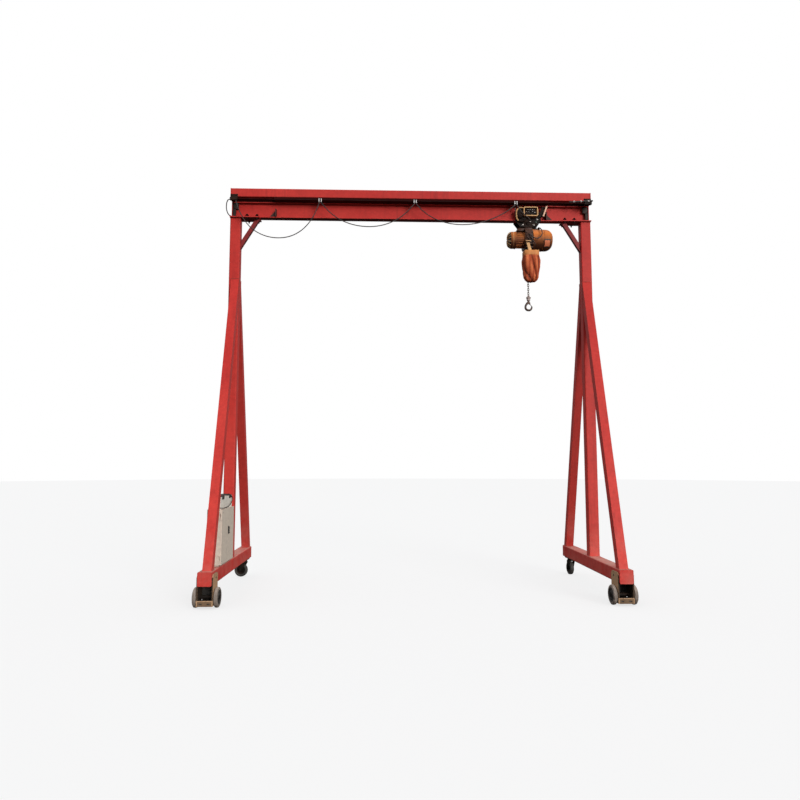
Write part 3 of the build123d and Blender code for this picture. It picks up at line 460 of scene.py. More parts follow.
def primer(name, **paint):
    """Primer that is painted near-black as painted shade between the plates of the wheel brackets and on their
    fronts above the sweeper.
    """
    material = aged_shaded_paint(name, **paint)
    tree = material.node_tree
    shader = next(node for node in tree.nodes if node.bl_idname == "ShaderNodeBsdfPrincipled")
    place = add(tree, "ShaderNodeSeparateXYZ", None, Vector=object_coordinates(tree)).outputs
    across = calc(tree, "ABSOLUTE", calc(tree, "SUBTRACT", calc(tree, "ABSOLUTE", place["X"]), LEG_X))
    inside = calc(tree, "LESS_THAN", across, BRACKET_GAP)
    edge = calc(tree, "GREATER_THAN", place["Z"], SWEEPER_TOP)
    front = calc(tree, "LESS_THAN", place["Y"], SWEEPER_BACK)
    kept = calc(tree, "MAXIMUM", calc(tree, "MULTIPLY", front, 0.30), calc(tree, "MULTIPLY", front, edge))
    # Painted shade: near-black between the bracket plates.
    bracket_shade = calc(tree, "MULTIPLY", inside, calc(tree, "SUBTRACT", 0.94, kept), clamp=True)
    rim = calc(tree, "LESS_THAN", place["Y"], SWEEPER_BACK - 0.006)
    above = calc(tree, "GREATER_THAN", place["Z"], SWEEPER_TOP + 0.0095)
    plate = calc(tree, "MULTIPLY", calc(tree, "MULTIPLY", rim, above), 0.9)
    bracket_shade = calc(tree, "MAXIMUM", bracket_shade, plate)
    clean = shader.inputs["Base Color"].links[0].from_socket
    feed(tree, shader, mixed(tree, bracket_shade, clean, (0.014, 0.010, 0.008, 1)))
    return material


def steel(name, colour, roughness, rust, metallic=0.85, dusty=0.35, shine=0.3):
    """Bare or blackened steel with patches of rust or grease."""
    material, tree, shader = new_material(name)
    coordinates = object_coordinates(tree)
    patches = remap(tree, noise(tree, coordinates, 9.0, 9.0, 0.68), 0.46, 0.68)
    stain = mixed(tree, patches, rgba(colour), rgba(rust))
    dust = placed(tree, "Dust", Amount=dusty)["Mask"]
    stain = mixed(tree, dust, stain, (0.30, 0.24, 0.19, 1))
    grain = noise(tree, coordinates, 40.0, 6.0)
    rough = remap(tree, grain, 0.3, 0.7, roughness - 0.1, roughness + 0.18)
    feed(tree, shader, stain, rough, remap(tree, patches, 0.0, 1.0, metallic, 0.15))
    bump(tree, shader, noise(tree, coordinates, 150.0, 5.0, 0.6), 0.0006, 0.4)
    shader.inputs["Specular IOR Level"].default_value = shine
    return material


def dull(name, colour, roughness, dusty=0.3, grain=120.0, dust=(0.28, 0.24, 0.20)):
    """Rubber or moulded plastic with a fine grain and dust in its hollows."""
    material, tree, shader = new_material(name)
    coordinates = object_coordinates(tree)
    patches = remap(tree, noise(tree, coordinates, 14.0, 8.0, 0.65), 0.42, 0.70)
    share = calc(tree, "MULTIPLY", patches, dusty)
    settled = placed(tree, "Dust", Amount=dusty)["Mask"]
    feed(tree, shader, mixed(tree, calc(tree, "MAXIMUM", share, settled), rgba(colour), rgba(dust)),
         remap(tree, patches, 0.0, 1.0, roughness, min(1.0, roughness + 0.2)))
    bump(tree, shader, noise(tree, coordinates, grain, 4.0), 0.0007, 0.4)
    return material


def bag_cloth(name, colour, crease_shade_share):
    """Coated cloth: a weave and dark stains, with painted shade in the creases and a painted highlight on the
    ridges of the folds.
    """
    colour = chosen_colour(colour)
    material, tree, shader = new_material(name)
    weave = placed(tree, "Weave")
    folds = add(tree, "ShaderNodeAttribute", {"attribute_name": "crease"}).outputs["Fac"]
    stain = remap(tree, noise(tree, object_coordinates(tree), 11.0, 8.0, 0.62), 0.36, 0.72)
    dark = tuple(channel * 0.22 for channel in colour)
    pale = (min(1.0, colour[0] * 1.8), colour[1] * 2.9, colour[2] * 3.4)
    # Painted highlight: the ridges of the folds are lightened.
    shade = mixed(tree, remap(tree, folds, 0.80, 0.99, 0.0, 0.9), rgba(colour), rgba(pale))
    # Painted shade: the creases are darkened.
    shade = mixed(tree, remap(tree, folds, 0.66, 0.25, 0.0, crease_shade_share), shade, rgba(dark))
    shade = mixed(tree, calc(tree, "MULTIPLY", stain, 0.30), shade, rgba(dark))
    tone = weave["Tone"]
    grey = add(tree, "ShaderNodeCombineColor", None, Red=tone, Green=tone, Blue=tone).outputs["Color"]
    feed(tree, shader, mixed(tree, 1.0, shade, grey, "MULTIPLY"), remap(tree, stain, 0.0, 1.0, 0.62, 0.82))
    bump(tree, shader, weave["Height"], 0.0005, 0.5)
    shader.inputs["Specular IOR Level"].default_value = 0.25
    return material


# How each finish is made, with colours that the sidebar changes given by their names
FINISHES = {
    "red_paint": (aged_shaded_paint, dict(paint="frame_red", faded="faded_red")),
    # Painted shadow: near-black red for the faces in the shadow under the beam's cap and for the saddle clamps.
    "shadow_painted_red": (aged_shaded_paint, dict(paint=(0.022, 0.003, 0.003), faded=(0.040, 0.005, 0.005),
                                    dustiness=0.1, wear=0.4, gloss=0.8, shine=0.03)),
    # Painted shade: a darker red for the knee braces' shaded faces.
    "brace_shade_red": (aged_shaded_paint, dict(paint=(0.21, 0.020, 0.020), faded=(0.28, 0.030, 0.028), dustiness=0.6)),
    "weld_steel": (aged_shaded_paint, dict(paint=(0.34, 0.020, 0.016), faded=(0.42, 0.035, 0.026), wear=1.6)),
    "stop_steel": (aged_shaded_paint, dict(paint=(0.035, 0.010, 0.009), faded=(0.10, 0.05, 0.04))),
    "black_paint": (aged_shaded_paint, dict(paint=(0.018, 0.014, 0.012), faded=(0.06, 0.045, 0.035), wear=0.7)),
    "brown_primer": (primer, dict(paint="primer_brown", faded=(0.52, 0.33, 0.19), wear=1.2,
                                  dustiness=0.45, streaks=0.7, gloss=0.7, under=0.9)),
    "cabinet_grey": (aged_shaded_paint, dict(paint="cabinet_grey", wear=0.3, dustiness=0.5, streaks=0.25,
                                      grime=(0.12, 0.10, 0.08), bare=(0.25, 0.22, 0.19))),
    "pale_enamel": (aged_shaded_paint, dict(paint=(0.72, 0.66, 0.56), faded=(0.82, 0.78, 0.70), wear=0.6,
                                     dustiness=0.6, streaks=0.8, grime=(0.16, 0.11, 0.08))),
    # Painted shade: this finish and the next mix faces that turn away from straight up towards the dark grime
    # colour, the next almost all round the motor and fan cowl.
    "hoist_paint": (aged_shaded_paint, dict(paint="hoist_orange", faded=(0.70, 0.23, 0.05), dustiness=0.4,
                                     streaks=1.0, under=1.0, turn=0.42, grime=(0.030, 0.010, 0.006))),
    "shade_painted_orange": (aged_shaded_paint, dict(paint="hoist_orange", faded=(0.70, 0.23, 0.05), dustiness=0.3,
                                     streaks=1.0, under=1.0, turn=0.95, grime=(0.045, 0.014, 0.008))),
    "faded_yellow": (aged_shaded_paint, dict(paint=(0.66, 0.36, 0.14), faded=(0.76, 0.48, 0.24), wear=1.2,
                                      dustiness=0.5, streaks=0.9, grime=(0.06, 0.02, 0.01))),
    "greasy_paint": (aged_shaded_paint, dict(paint=(0.10, 0.030, 0.012), faded=(0.030, 0.016, 0.012), wear=0.8,
                                      dustiness=0.2, streaks=1.0, fade_and_low_light=1.0, gloss=0.34, under=1.0,
                                      grime=(0.008, 0.005, 0.004))),
    "block_paint": (aged_shaded_paint, dict(paint=(0.56, 0.45, 0.42), faded=(0.66, 0.56, 0.52), wear=1.4)),
    # Painted highlight: pale pink for the lit edge of the trolley's bumper.
    "highlight_pink": (aged_shaded_paint, dict(paint=(0.84, 0.50, 0.34), faded=(0.88, 0.60, 0.44), wear=0.6)),
    "rust_patch": (aged_shaded_paint, dict(paint=(0.72, 0.19, 0.085), faded=(0.80, 0.30, 0.16), wear=0.6,
                                    streaks=0.3, under=0.1)),
    "band_cloth": (aged_shaded_paint, dict(paint=(0.62, 0.22, 0.06), faded=(0.72, 0.32, 0.12), wear=0.3,
                                    dustiness=0.2, grime=(0.12, 0.03, 0.012), under=0.4)),
    "bag_fabric": (bag_cloth, dict(colour="bag_orange", crease_shade_share=0.9)),
    "tyre_rubber": (dull, dict(colour=(0.020, 0.018, 0.017), roughness=0.62, dusty=0.20)),
    "dusty_tread": (dull, dict(colour=(0.14, 0.11, 0.09), roughness=0.8, dusty=0.9,
                               dust=(0.42, 0.35, 0.30))),
    "black_plastic": (dull, dict(colour=(0.012, 0.011, 0.011), roughness=0.45, dusty=0.10, grain=300.0)),
    "green_wire": (dull, dict(colour=(0.30, 0.46, 0.36), roughness=0.5, dusty=0.2, grain=300.0)),
    "white_tie": (dull, dict(colour=(0.86, 0.82, 0.80), roughness=0.5, dusty=0.15, grain=300.0,
                             dust=(0.55, 0.46, 0.43))),
    "cable_black": (dull, dict(colour=(0.014, 0.008, 0.008), roughness=0.5, dusty=0.15, grain=400.0)),
    "dark_steel": (steel, dict(colour=(0.008, 0.006, 0.005), roughness=0.60, rust=(0.030, 0.013, 0.008),
                               metallic=0.2, dusty=0.08, shine=0.12)),
    "bright_steel": (steel, dict(colour=(0.30, 0.28, 0.26), roughness=0.36, rust=(0.10, 0.065, 0.045))),
    "dark_wire": (steel, dict(colour=(0.020, 0.012, 0.011), roughness=0.55, rust=(0.03, 0.012, 0.010),
                              dusty=0.0)),
    "hook_steel": (steel, dict(colour=(0.055, 0.050, 0.048), roughness=0.40, rust=(0.11, 0.055, 0.035))),
}


def finish(look):
    """The material of that finish, made at its first use."""
    name = f"crane_{look}"
    made = bpy.data.materials.get(name)
    if made is None:
        make, values = FINISHES[look]
        made = make(name, **values)
    return made


# Meshes

def new_object(name, bm):
    """An object in the scene from a finished bmesh."""
    mesh = bpy.data.meshes.new(name)
    bm.to_mesh(mesh)
    bm.free()
    made = bpy.data.objects.new(name, mesh)
    bpy.context.scene.collection.objects.link(made)
    return made


def add_piece(name, bm, slot, body, look=None, angle=35.0):
    """A finished piece with smooth faces between sharp edges, riding on its body."""
    piece = new_object(name, bm)
    piece.data.shade_smooth()
    piece.data.set_sharp_from_angle(angle=math.radians(angle))
    piece.data.materials.append(finish(look or slot))
    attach(piece, body)
    return piece


def spline_points(points):
    """The points along a smooth line that a route's points pull, from Blender's own curve."""
    curve = bpy.data.curves.new("route", "CURVE")
    curve.dimensions = "3D"
    curve.resolution_u = 10
    spline = curve.splines.new("NURBS")
    spline.points.add(len(points) - 1)
    for place, point in zip(spline.points, points):
        place.co = (*point, 1.0)
    spline.order_u = 3
    spline.use_endpoint_u = True
    holder = bpy.data.objects.new("route", curve)
    mesh = bpy.data.meshes.new_from_object(holder)
    line = [vertex.co.copy() for vertex in mesh.vertices]
    bpy.data.objects.remove(holder)
    bpy.data.meshes.remove(mesh)
    bpy.data.curves.remove(curve)
    return line


def only(kind, items):
    """The items of one bmesh type."""
    return [item for item in items if isinstance(item, kind)]


def loop_edges(ring):
    """The edges that join the vertices of one ring."""
    members = set(ring)
    return list({edge for vert in ring for edge in vert.link_edges if edge.other_vert(vert) in members})


def skin(bm, rings, closed=()):
    """Joins rings one after another, and closes the ends that are given by their numbers."""
    loops = [loop_edges(ring) for ring in rings]
    faces = []
    for first, second in zip(loops, loops[1:]):
        faces += bmesh.ops.bridge_loops(bm, edges=first + second)["faces"]
    for end in closed:
        faces += bmesh.ops.contextual_create(bm, geom=loops[end])["faces"]
    bmesh.ops.recalc_face_normals(bm, faces=faces)


def tube_along(bm, line, radius, sides=12, radii=None):
    """A closed round tube along a line of points."""
    rings = []
    heading = (line[1] - line[0]).normalized()
    turned = heading.to_track_quat("Z", "Y")
    for number, point in enumerate(line):
        before = line[max(number - 1, 0)]
        after = line[min(number + 1, len(line) - 1)]
        following = (after - before).normalized()
        turned = heading.rotation_difference(following) @ turned
        heading = following
        size = radius * (radii[number] if radii else 1.0)
        place = Matrix.Translation(point) @ turned.to_matrix().to_4x4()
        rings.append(bmesh.ops.create_circle(bm, segments=sides, radius=size, matrix=place)["verts"])
    skin(bm, rings, closed=(0, -1))


def spun(bm, profile, origin, axis, steps=48):
    """A turned shape from points given as distance along its axis and radius."""
    origin = Vector(origin)
    axis = Vector(axis).normalized()
    side = axis.orthogonal().normalized()
    verts = [bm.verts.new(origin + axis * along + side * radius) for along, radius in profile]
    edges = [bm.edges.new(pair) for pair in zip(verts, verts[1:])]
    before = set(bm.faces)
    bmesh.ops.spin(bm, geom=verts + edges, cent=origin, axis=axis, angle=2 * math.pi, steps=steps,
                   use_merge=True)
    made = [face for face in bm.faces if face not in before]
    turned = list({vert for face in made for vert in face.verts})
    bmesh.ops.remove_doubles(bm, verts=turned, dist=1e-6)
    made = [face for face in bm.faces if face not in before]
    bmesh.ops.recalc_face_normals(bm, faces=made)


def round_edges(bm, edges, width, segments):
    bmesh.ops.bevel(bm, geom=edges, offset=width, offset_type="OFFSET", segments=segments,
                    profile=0.5, affect="EDGES", material=-1)


def cube_between(bm, low, high, place=None):
    """The corners of a block between two points, in that place if one is given."""
    low, high = Vector(low), Vector(high)
    matrix = Matrix.Translation((low + high) / 2) @ Matrix.Diagonal((*(high - low), 1.0))
    if place:
        matrix = place @ matrix
    return bmesh.ops.create_cube(bm, size=1.0, matrix=matrix)["verts"]


def bar(bm, low, high, edge=0.0, segments=2, place=None):
    """A block between two corners, with its edges rounded."""
    verts = cube_between(bm, low, high, place)
    if edge:
        round_edges(bm, list({e for vert in verts for e in vert.link_edges}), edge, segments)


def cone(bm, place, radius, top_radius, low, high, sides):
    """A round or many-sided stub between two heights of a place."""
    matrix = place @ Matrix.Translation((0, 0, (low + high) / 2))
    bmesh.ops.create_cone(bm, cap_ends=True, segments=sides, radius1=radius, radius2=top_radius,
                          depth=high - low, matrix=matrix)


def standing(point, normal, turn=0.0):
    """A place on a face, with Z out of the face."""
    tilt = Vector(normal).to_track_quat("Z", "Y").to_matrix().to_4x4()
    return Matrix.Translation(point) @ tilt @ Matrix.Rotation(turn, 4, "Z")


def bolt(bm, point, normal, size, washer=True):
    """A hexagon head with its chamfer, on a washer sunk a little into its seat."""
    place = standing(point, normal, random.uniform(0, math.pi))
    seat = 0.16 * size if washer else 0.0
    if washer:
        cone(bm, place, size * 1.08, size * 1.08, -0.0003, seat, 20)
    cone(bm, place, size * 0.87, size * 0.87, seat - 0.0002, seat + 0.50 * size, 6)
    cone(bm, place, size * 0.87, size * 0.70, seat + 0.50 * size, seat + 0.60 * size, 6)


def weld(bm, corners, leg):
    """A rippled bead along straight runs between corners."""
    line = []
    for start, end in zip(corners, corners[1:]):
        start, end = Vector(start), Vector(end)
        count = max(2, round((end - start).length / (leg * 1.1)))
        line += [start.lerp(end, step / count) for step in range(count)]
    line.append(Vector(corners[-1]))
    radii = [random.uniform(0.82, 1.12) for _ in line]
    tube_along(bm, line, leg / 2, sides=6, radii=radii)


def curved_plate(bm, profile, origin, axis, start, angle, steps=10):
    """A plate bent round an axis, from a closed outline of distance along it and radius."""
    side = Matrix.Rotation(start, 3, axis) @ Y_AXIS
    verts = [bm.verts.new(origin + axis * along + side * radius) for along, radius in profile]
    edges = [bm.edges.new(pair) for pair in zip(verts, verts[1:] + verts[:1])]
    made = bmesh.ops.spin(bm, geom=verts + edges, cent=origin, axis=axis, angle=angle, steps=steps)
    for end in (edges, only(bmesh.types.BMEdge, made["geom_last"])):
        bmesh.ops.contextual_create(bm, geom=end)
    bmesh.ops.recalc_face_normals(bm, faces=bm.faces)


def extruded(bm, points, move):
    """A plate from its outline, pulled out by a vector: what the pull made."""
    face = bm.faces.new([bm.verts.new(point) for point in points])
    raised = bmesh.ops.extrude_face_region(bm, geom=[face])["geom"]
    bmesh.ops.translate(bm, verts=only(bmesh.types.BMVert, raised), vec=move)
    return raised


def thick_outline(bm, points, depth, edge):
    """A plate with a rounded front, from its outline at the back and its depth towards the camera."""
    raised = extruded(bm, points, (0, -depth, 0))
    round_edges(bm, only(bmesh.types.BMEdge, raised), edge, 3)
    bmesh.ops.recalc_face_normals(bm, faces=bm.faces)


def slot_outline(centre, width, height, y, steps=14):
    """Points round an upright slot with half-round ends."""
    radius = width / 2
    straight = height / 2 - radius
    points = []
    for end, start in ((1, 0.0), (-1, math.pi)):
        for step in range(steps + 1):
            turn = start + math.pi * step / steps
            points.append(Vector((centre.x + radius * math.cos(turn), y,
                                  centre.z + end * straight + radius * math.sin(turn))))
    return points


def turns(count, start=0.0):
    """Angles at even steps round a full turn."""
    return [2 * math.pi * (number + start) / count for number in range(count)]


def outwards(turn):
    """The direction away from the X axis at that angle."""
    return Vector((0, math.cos(turn), math.sin(turn)))


# Joints

def joint_named(name):
    return next(joint for joint in frame["joints"] if joint["name"] == name)


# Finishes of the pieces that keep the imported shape

NODE_FINISHES = {
    "cap_under_box": "shadow_painted_red", "cap_packings": "shadow_painted_red", "guide_wire": "dark_wire",
    "hoist_housing": "greasy_paint", "bag_hanger": "faded_yellow", "cabinet_head": "pale_enamel",
    "knee_braces": "brace_shade_red", "hook_latch": "hook_steel", "hook_block": "block_paint",
}


class CRANE_OT_finishes(Operator):
    """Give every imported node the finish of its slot"""
    bl_idname = "crane.finishes"
    bl_label = "Finishes"

    def execute(self, context):
        slots = {part["node"]: part["material_slot"] for part in frame["record"]["subparts"]}
        for name, node in nodes.items():
            node.data.materials.clear()
            node.data.materials.append(finish(NODE_FINISHES.get(name, slots[name])))
        return {"FINISHED"}


# Cables

WIRE_Y = middle("guide_wire").y

# Each loop's carrier, cable length, the joints that move its two ends, and its route in X and Z
FESTOON_LOOPS = {
    "festoon_loop_1": ("frame", 1.537, "frame", "clip_1_slide", (
        (-2.226, 4.8317), (-2.208, 4.760), (-2.172, 4.672), (-2.110, 4.564), (-2.030, 4.472),
        (-1.925, 4.400), (-1.800, 4.356), (-1.665, 4.345), (-1.535, 4.368), (-1.420, 4.428),
        (-1.325, 4.518), (-1.255, 4.622), (-1.208, 4.728), (-1.174, 4.8198),
    )),
    "festoon_loop_2": ("festoon_clip_1", 1.395, "clip_1_slide", "clip_2_slide", (
        (-1.160, 4.818), (-1.095, 4.738), (-1.005, 4.652), (-0.895, 4.582), (-0.770, 4.534),
        (-0.635, 4.509), (-0.495, 4.507), (-0.358, 4.532), (-0.234, 4.582), (-0.126, 4.652),
        (-0.038, 4.738), (0.029, 4.818),
    )),
    "festoon_loop_3": ("festoon_clip_2", 1.424, "clip_2_slide", "trolley_travel", (
        (0.043, 4.8178), (0.110, 4.742), (0.196, 4.670), (0.304, 4.610), (0.430, 4.568),
        (0.570, 4.547), (0.716, 4.550), (0.862, 4.576), (1.002, 4.622), (1.128, 4.681),
        (1.236, 4.749), (1.318, 4.8172),
    )),
}


class CRANE_OT_festoon(Operator):
    """Hang the festoon cable in its three loops"""
    bl_idname = "crane.festoon"
    bl_label = "Festoon cable"

    def execute(self, context):
        cables = context.scene.crane_cables
        for name, (carrier, length, near, far, route) in FESTOON_LOOPS.items():
            line = spline_points([(x, WIRE_Y, z) for x, z in route])
            bm = bmesh.new()
            tube_along(bm, line, cables.cable_diameter / 2, sides=4 * cables.cable_lines)
            loop = add_piece(f"{name}_cable", bm, "cable_black", carrier)
            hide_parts(name)
            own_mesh(loop)
        return {"FINISHED"}


CLIP_CARRIERS = {
    "festoon_clip_1": "festoon_clip_1", "festoon_clip_2": "festoon_clip_2", "tow_clip": "trolley",
}
TIE_GAP = 0.014
TIE_REACH = 0.010
BUNDLE_TIES = ((2.075, 4.871), (2.165, 4.8765), (2.262, 4.8828))
BUNDLE_RADIUS = 0.0112


class CRANE_OT_clip_ties(Operator):
    """Tie the festoon cable to its clips with white ties"""
    bl_idname = "crane.clip_ties"
    bl_label = "Cable ties"

    def execute(self, context):
        half = context.scene.crane_cables.tie_width / 2
        front, back = WIRE_Y - TIE_REACH, WIRE_Y + TIE_REACH
        bottom, top = (corner.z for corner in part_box("festoon_clip_1"))
        for node, body in CLIP_CARRIERS.items():
            bm = bmesh.new()
            for way in SIDES:
                x = middle(node).x + way * TIE_GAP
                for low, high, edge in (
                        ((front - 0.0016, bottom - 0.001), (front + 0.001, top + 0.0016), 0.0006),
                        ((front - 0.0016, top - 0.001), (back + 0.0016, top + 0.0016), 0.0006),
                        ((front - 0.004, top - 0.014), (front - 0.001, top - 0.006), 0.001)):
                    bar(bm, (x - half, *low), (x + half, *high), edge, 1)
            add_piece(f"{node}_ties", bm, "black_plastic", body, "white_tie")
        bm = bmesh.new()
        for x, z in BUNDLE_TIES:
            for way in SIDES:
                ring = [outwards(turn) * BUNDLE_RADIUS for turn in (*turns(12), 2 * math.pi)]
                middle_point = Vector((x + way * 0.006, WIRE_Y + 0.007, z))
                tube_along(bm, spline_points([middle_point + point for point in ring]), 0.0026, sides=6)
        add_piece("end_bundle_ties", bm, "black_plastic", "frame", "white_tie")
        return {"FINISHED"}


# Chain bag

# Share of the bag's depth, and its width there as a share of the widest
BAG_OUTLINE = ((0.0, 0.84), (0.13, 0.84), (0.20, 0.92), (0.32, 1.0), (0.50, 0.96), (0.66, 0.90),
               (0.84, 0.82), (0.92, 0.73), (0.97, 0.62), (1.0, 0.46))
BAND_SIDES = 96


def bag_width(share):
    """How wide the bag is at that share of its depth."""
    for (first, wide), (second, narrow) in zip(BAG_OUTLINE, BAG_OUTLINE[1:]):
        if share <= second:
            part = (share - first) / (second - first)
            part = part * part * (3 - 2 * part)
            return wide + (narrow - wide) * part
    return BAG_OUTLINE[-1][1]


def bag_section(angle, share, half, settings):
    """Where the cloth is at one angle and depth, and how far it stands out of its folds."""
    power = 4.2 - 1.6 * share
    reach = (abs(math.cos(angle)) ** power + abs(math.sin(angle)) ** power) ** (-1 / power)
    grip = min(1.0, max(0.0, (share - 0.13) / 0.16))
    lean = 0.95 * share - 0.30 * math.sin(3.0 * share)
    turn = angle - lean + 0.22 * math.sin(2 * angle + 1.3) + 0.10 * math.sin(3 * angle - 5 * share)
    ridge = abs(math.sin(settings.fold_count * turn / 2)) ** 0.75
    small = abs(math.sin((settings.fold_count + 4) * (angle + 0.35 * lean) / 2 + 0.8)) ** 0.8
    fold = 0.74 * ridge + 0.26 * small
    depth = settings.fold_depth * grip * (0.8 + 0.4 * share) * (1 - fold)
    width = bag_width(share)
    size_x = (half.x * width - depth) * reach
    size_y = (half.y * width - depth) * reach
    return Vector((size_x * math.cos(angle), size_y * math.sin(angle))), fold if grip > 0.02 else 0.7


def bag_ring(bm, sides, z, share, settings, out=0.0, crease=None):
    """One ring of the bag at a height, grown outwards, with its folds kept in the crease layer."""
    low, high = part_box("chain_bag")
    centre = (low + high) / 2
    place = Matrix.Translation((centre.x, centre.y, z))
    ring = bmesh.ops.create_circle(bm, segments=sides, radius=1.0, matrix=place)["verts"]
    for vert in ring:
        angle = math.atan2(vert.co.y - centre.y, vert.co.x - centre.x)
        across, fold = bag_section(angle, share, (high - low) / 2, settings)
        grown = across + across.normalized() * out
        vert.co.x = centre.x + grown.x
        vert.co.y = centre.y + grown.y
        if crease:
            vert[crease] = fold
    return ring


def lay_out_cloth(bm, centre, girth):
    """The bag's own map: round the bag, and down it, in metres of cloth."""
    layer = bm.loops.layers.uv.new("cloth")
    for face in bm.faces:
        angles = [math.atan2(l.vert.co.y - centre.y, l.vert.co.x - centre.x) for l in face.loops]
        wraps = max(angles) - min(angles) > math.pi
        for loop, angle in zip(face.loops, angles):
            turn = (angle + 2 * math.pi if wraps and angle < 0 else angle) / (2 * math.pi)
            loop[layer].uv = (turn * girth, loop.vert.co.z)


class CRANE_OT_chain_bag(Operator):
    """Hang the cloth bag for the slack chain, with its band, folds and gathered foot"""
    bl_idname = "crane.chain_bag"
    bl_label = "Chain bag"

    def execute(self, context):
        settings = context.scene.crane_bag
        low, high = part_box("chain_bag")
        bm = bmesh.new()
        crease = bm.verts.layers.float.new("crease")
        shares = [level / settings.cloth_rings for level in range(settings.cloth_rings + 1)]
        skin(bm, [bag_ring(bm, settings.cloth_sides, high.z - share * (high.z - low.z), share, settings,
                           crease=crease) for share in shares], closed=(-1,))
        lay_out_cloth(bm, (low + high) / 2, 2 * ((high.x - low.x) + (high.y - low.y)))
        bag = add_piece("chain_bag_cloth", bm, "bag_fabric", "trolley", angle=80)
        shell = bag.modifiers.new("cloth", "SOLIDIFY")
        shell.thickness = settings.cloth
        shell.offset = -1.0
        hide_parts("chain_bag")
        hem = settings.band_height
        bm = bmesh.new()
        skin(bm, [bag_ring(bm, BAND_SIDES, high.z - drop, 0.0, settings, out) for drop, out in (
            (-0.002, -0.003), (-0.003, 0.001), (0.002, 0.003), (hem * 0.5, 0.0022), (hem - 0.005, 0.003),
            (hem, 0.001), (hem - 0.001, -0.004))])
        add_piece("chain_bag_band", bm, "bag_fabric", "trolley", "band_cloth", angle=60)
        return {"FINISHED"}


# Hoist

HOIST_AXIS = middle("control_cover")
HOIST_X = middle("hook_block").x
HOUSING_LOW, HOUSING_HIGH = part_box("hoist_housing")
MOTOR_LOW, MOTOR_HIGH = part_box("hoist_motor")
COVER_LOW, COVER_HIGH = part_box("control_cover")


class CRANE_OT_motor(Operator):
    """Build the hoist motor with its fins, collar, fan cowl and black vents"""
    bl_idname = "crane.motor"
    bl_label = "Hoist motor"

    def execute(self, context):
        hoist = context.scene.crane_hoist
        foot = Vector((MOTOR_HIGH.x, 0, HOIST_AXIS.z))
        length = MOTOR_HIGH.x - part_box("motor_fan_cap")[0].x
        radius = (MOTOR_HIGH.z - MOTOR_LOW.z) / 2
        root = radius - hoist.fin_height - 0.006
        cowl = length - hoist.cowl_length
        rim = radius - 0.002

        def turned(bm, profile, steps=64):
            spun(bm, profile, foot, -X_AXIS, steps)

        bm = bmesh.new()
        turned(bm, [(-0.001, 0), (-0.001, root + 0.006), (0.010, root + 0.006), (0.012, root),
                    (cowl - 0.006, root), (cowl - 0.006, 0)])
        half = hoist.fin_thickness / 2
        for turn in turns(hoist.fin_count):
            place = Matrix.Translation(foot) @ Matrix.Rotation(turn, 4, "X")
            bar(bm, (-(cowl - 0.008), -half, root - 0.003), (-0.013, half, root + hoist.fin_height),
                edge=0.0006, segments=1, place=place)
        motor = add_piece("motor_barrel", bm, "hoist_paint", "trolley", "shade_painted_orange")
        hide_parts("hoist_motor", "motor_fan_cap")
        bm = bmesh.new()
        turned(bm, [(cowl - 0.008, root - 0.010), (cowl - 0.008, radius), (cowl - 0.006, radius + 0.002),
                    (cowl + 0.001, radius + 0.002), (cowl + 0.003, rim), (length - 0.046, rim),
                    (length - 0.034, rim - 0.004), (length - 0.034, rim - 0.012), (cowl, rim - 0.012)])
        turned(bm, [(length - 0.010, 0), (length - 0.010, 0.030), (length + 0.001, 0.028),
                    (length + 0.003, 0)], steps=32)
        add_piece("fan_cowl", bm, "hoist_paint", "trolley", "shade_painted_orange")
        bm = bmesh.new()
        for reach in (cowl - 0.003, cowl + 0.030):
            turned(bm, [(reach - 0.003, rim - 0.002), (reach - 0.003, rim + 0.001),
                        (reach + 0.003, rim + 0.001), (reach + 0.003, rim - 0.002)])
        rib = [(length - 0.040, rim - 0.006), (length - 0.022, rim - 0.014), (length - 0.008, rim - 0.030),
               (length - 0.001, rim - 0.052), (length, rim - 0.078)]
        for turn in turns(hoist.fan_ribs, 0.5):
            place = Matrix.Translation(foot) @ Matrix.Rotation(turn, 4, "X")
            tube_along(bm, [place @ Vector((-reach, 0, out)) for reach, out in rib], 0.0042, sides=6)
        add_piece("fan_cowl_ribs", bm, "hoist_paint", "trolley", "faded_yellow")
        bm = bmesh.new()
        turned(bm, [(length - 0.044, 0), (length - 0.044, rim - 0.010), (length - 0.026, rim - 0.019),
                    (length - 0.012, rim - 0.034), (length - 0.005, rim - 0.055), (length - 0.004, 0)],
               steps=48)
        add_piece("fan_guard", bm, "black_plastic", "trolley")
        return {"FINISHED"}


CABLE_GLAND = Vector((HOIST_AXIS.x - 0.0525, -0.064, 4.5342))
GLAND_LEAN = (0.002, -0.016, 0.0128)
DOME_STEPS = 10
COVER_SCREWS = 8


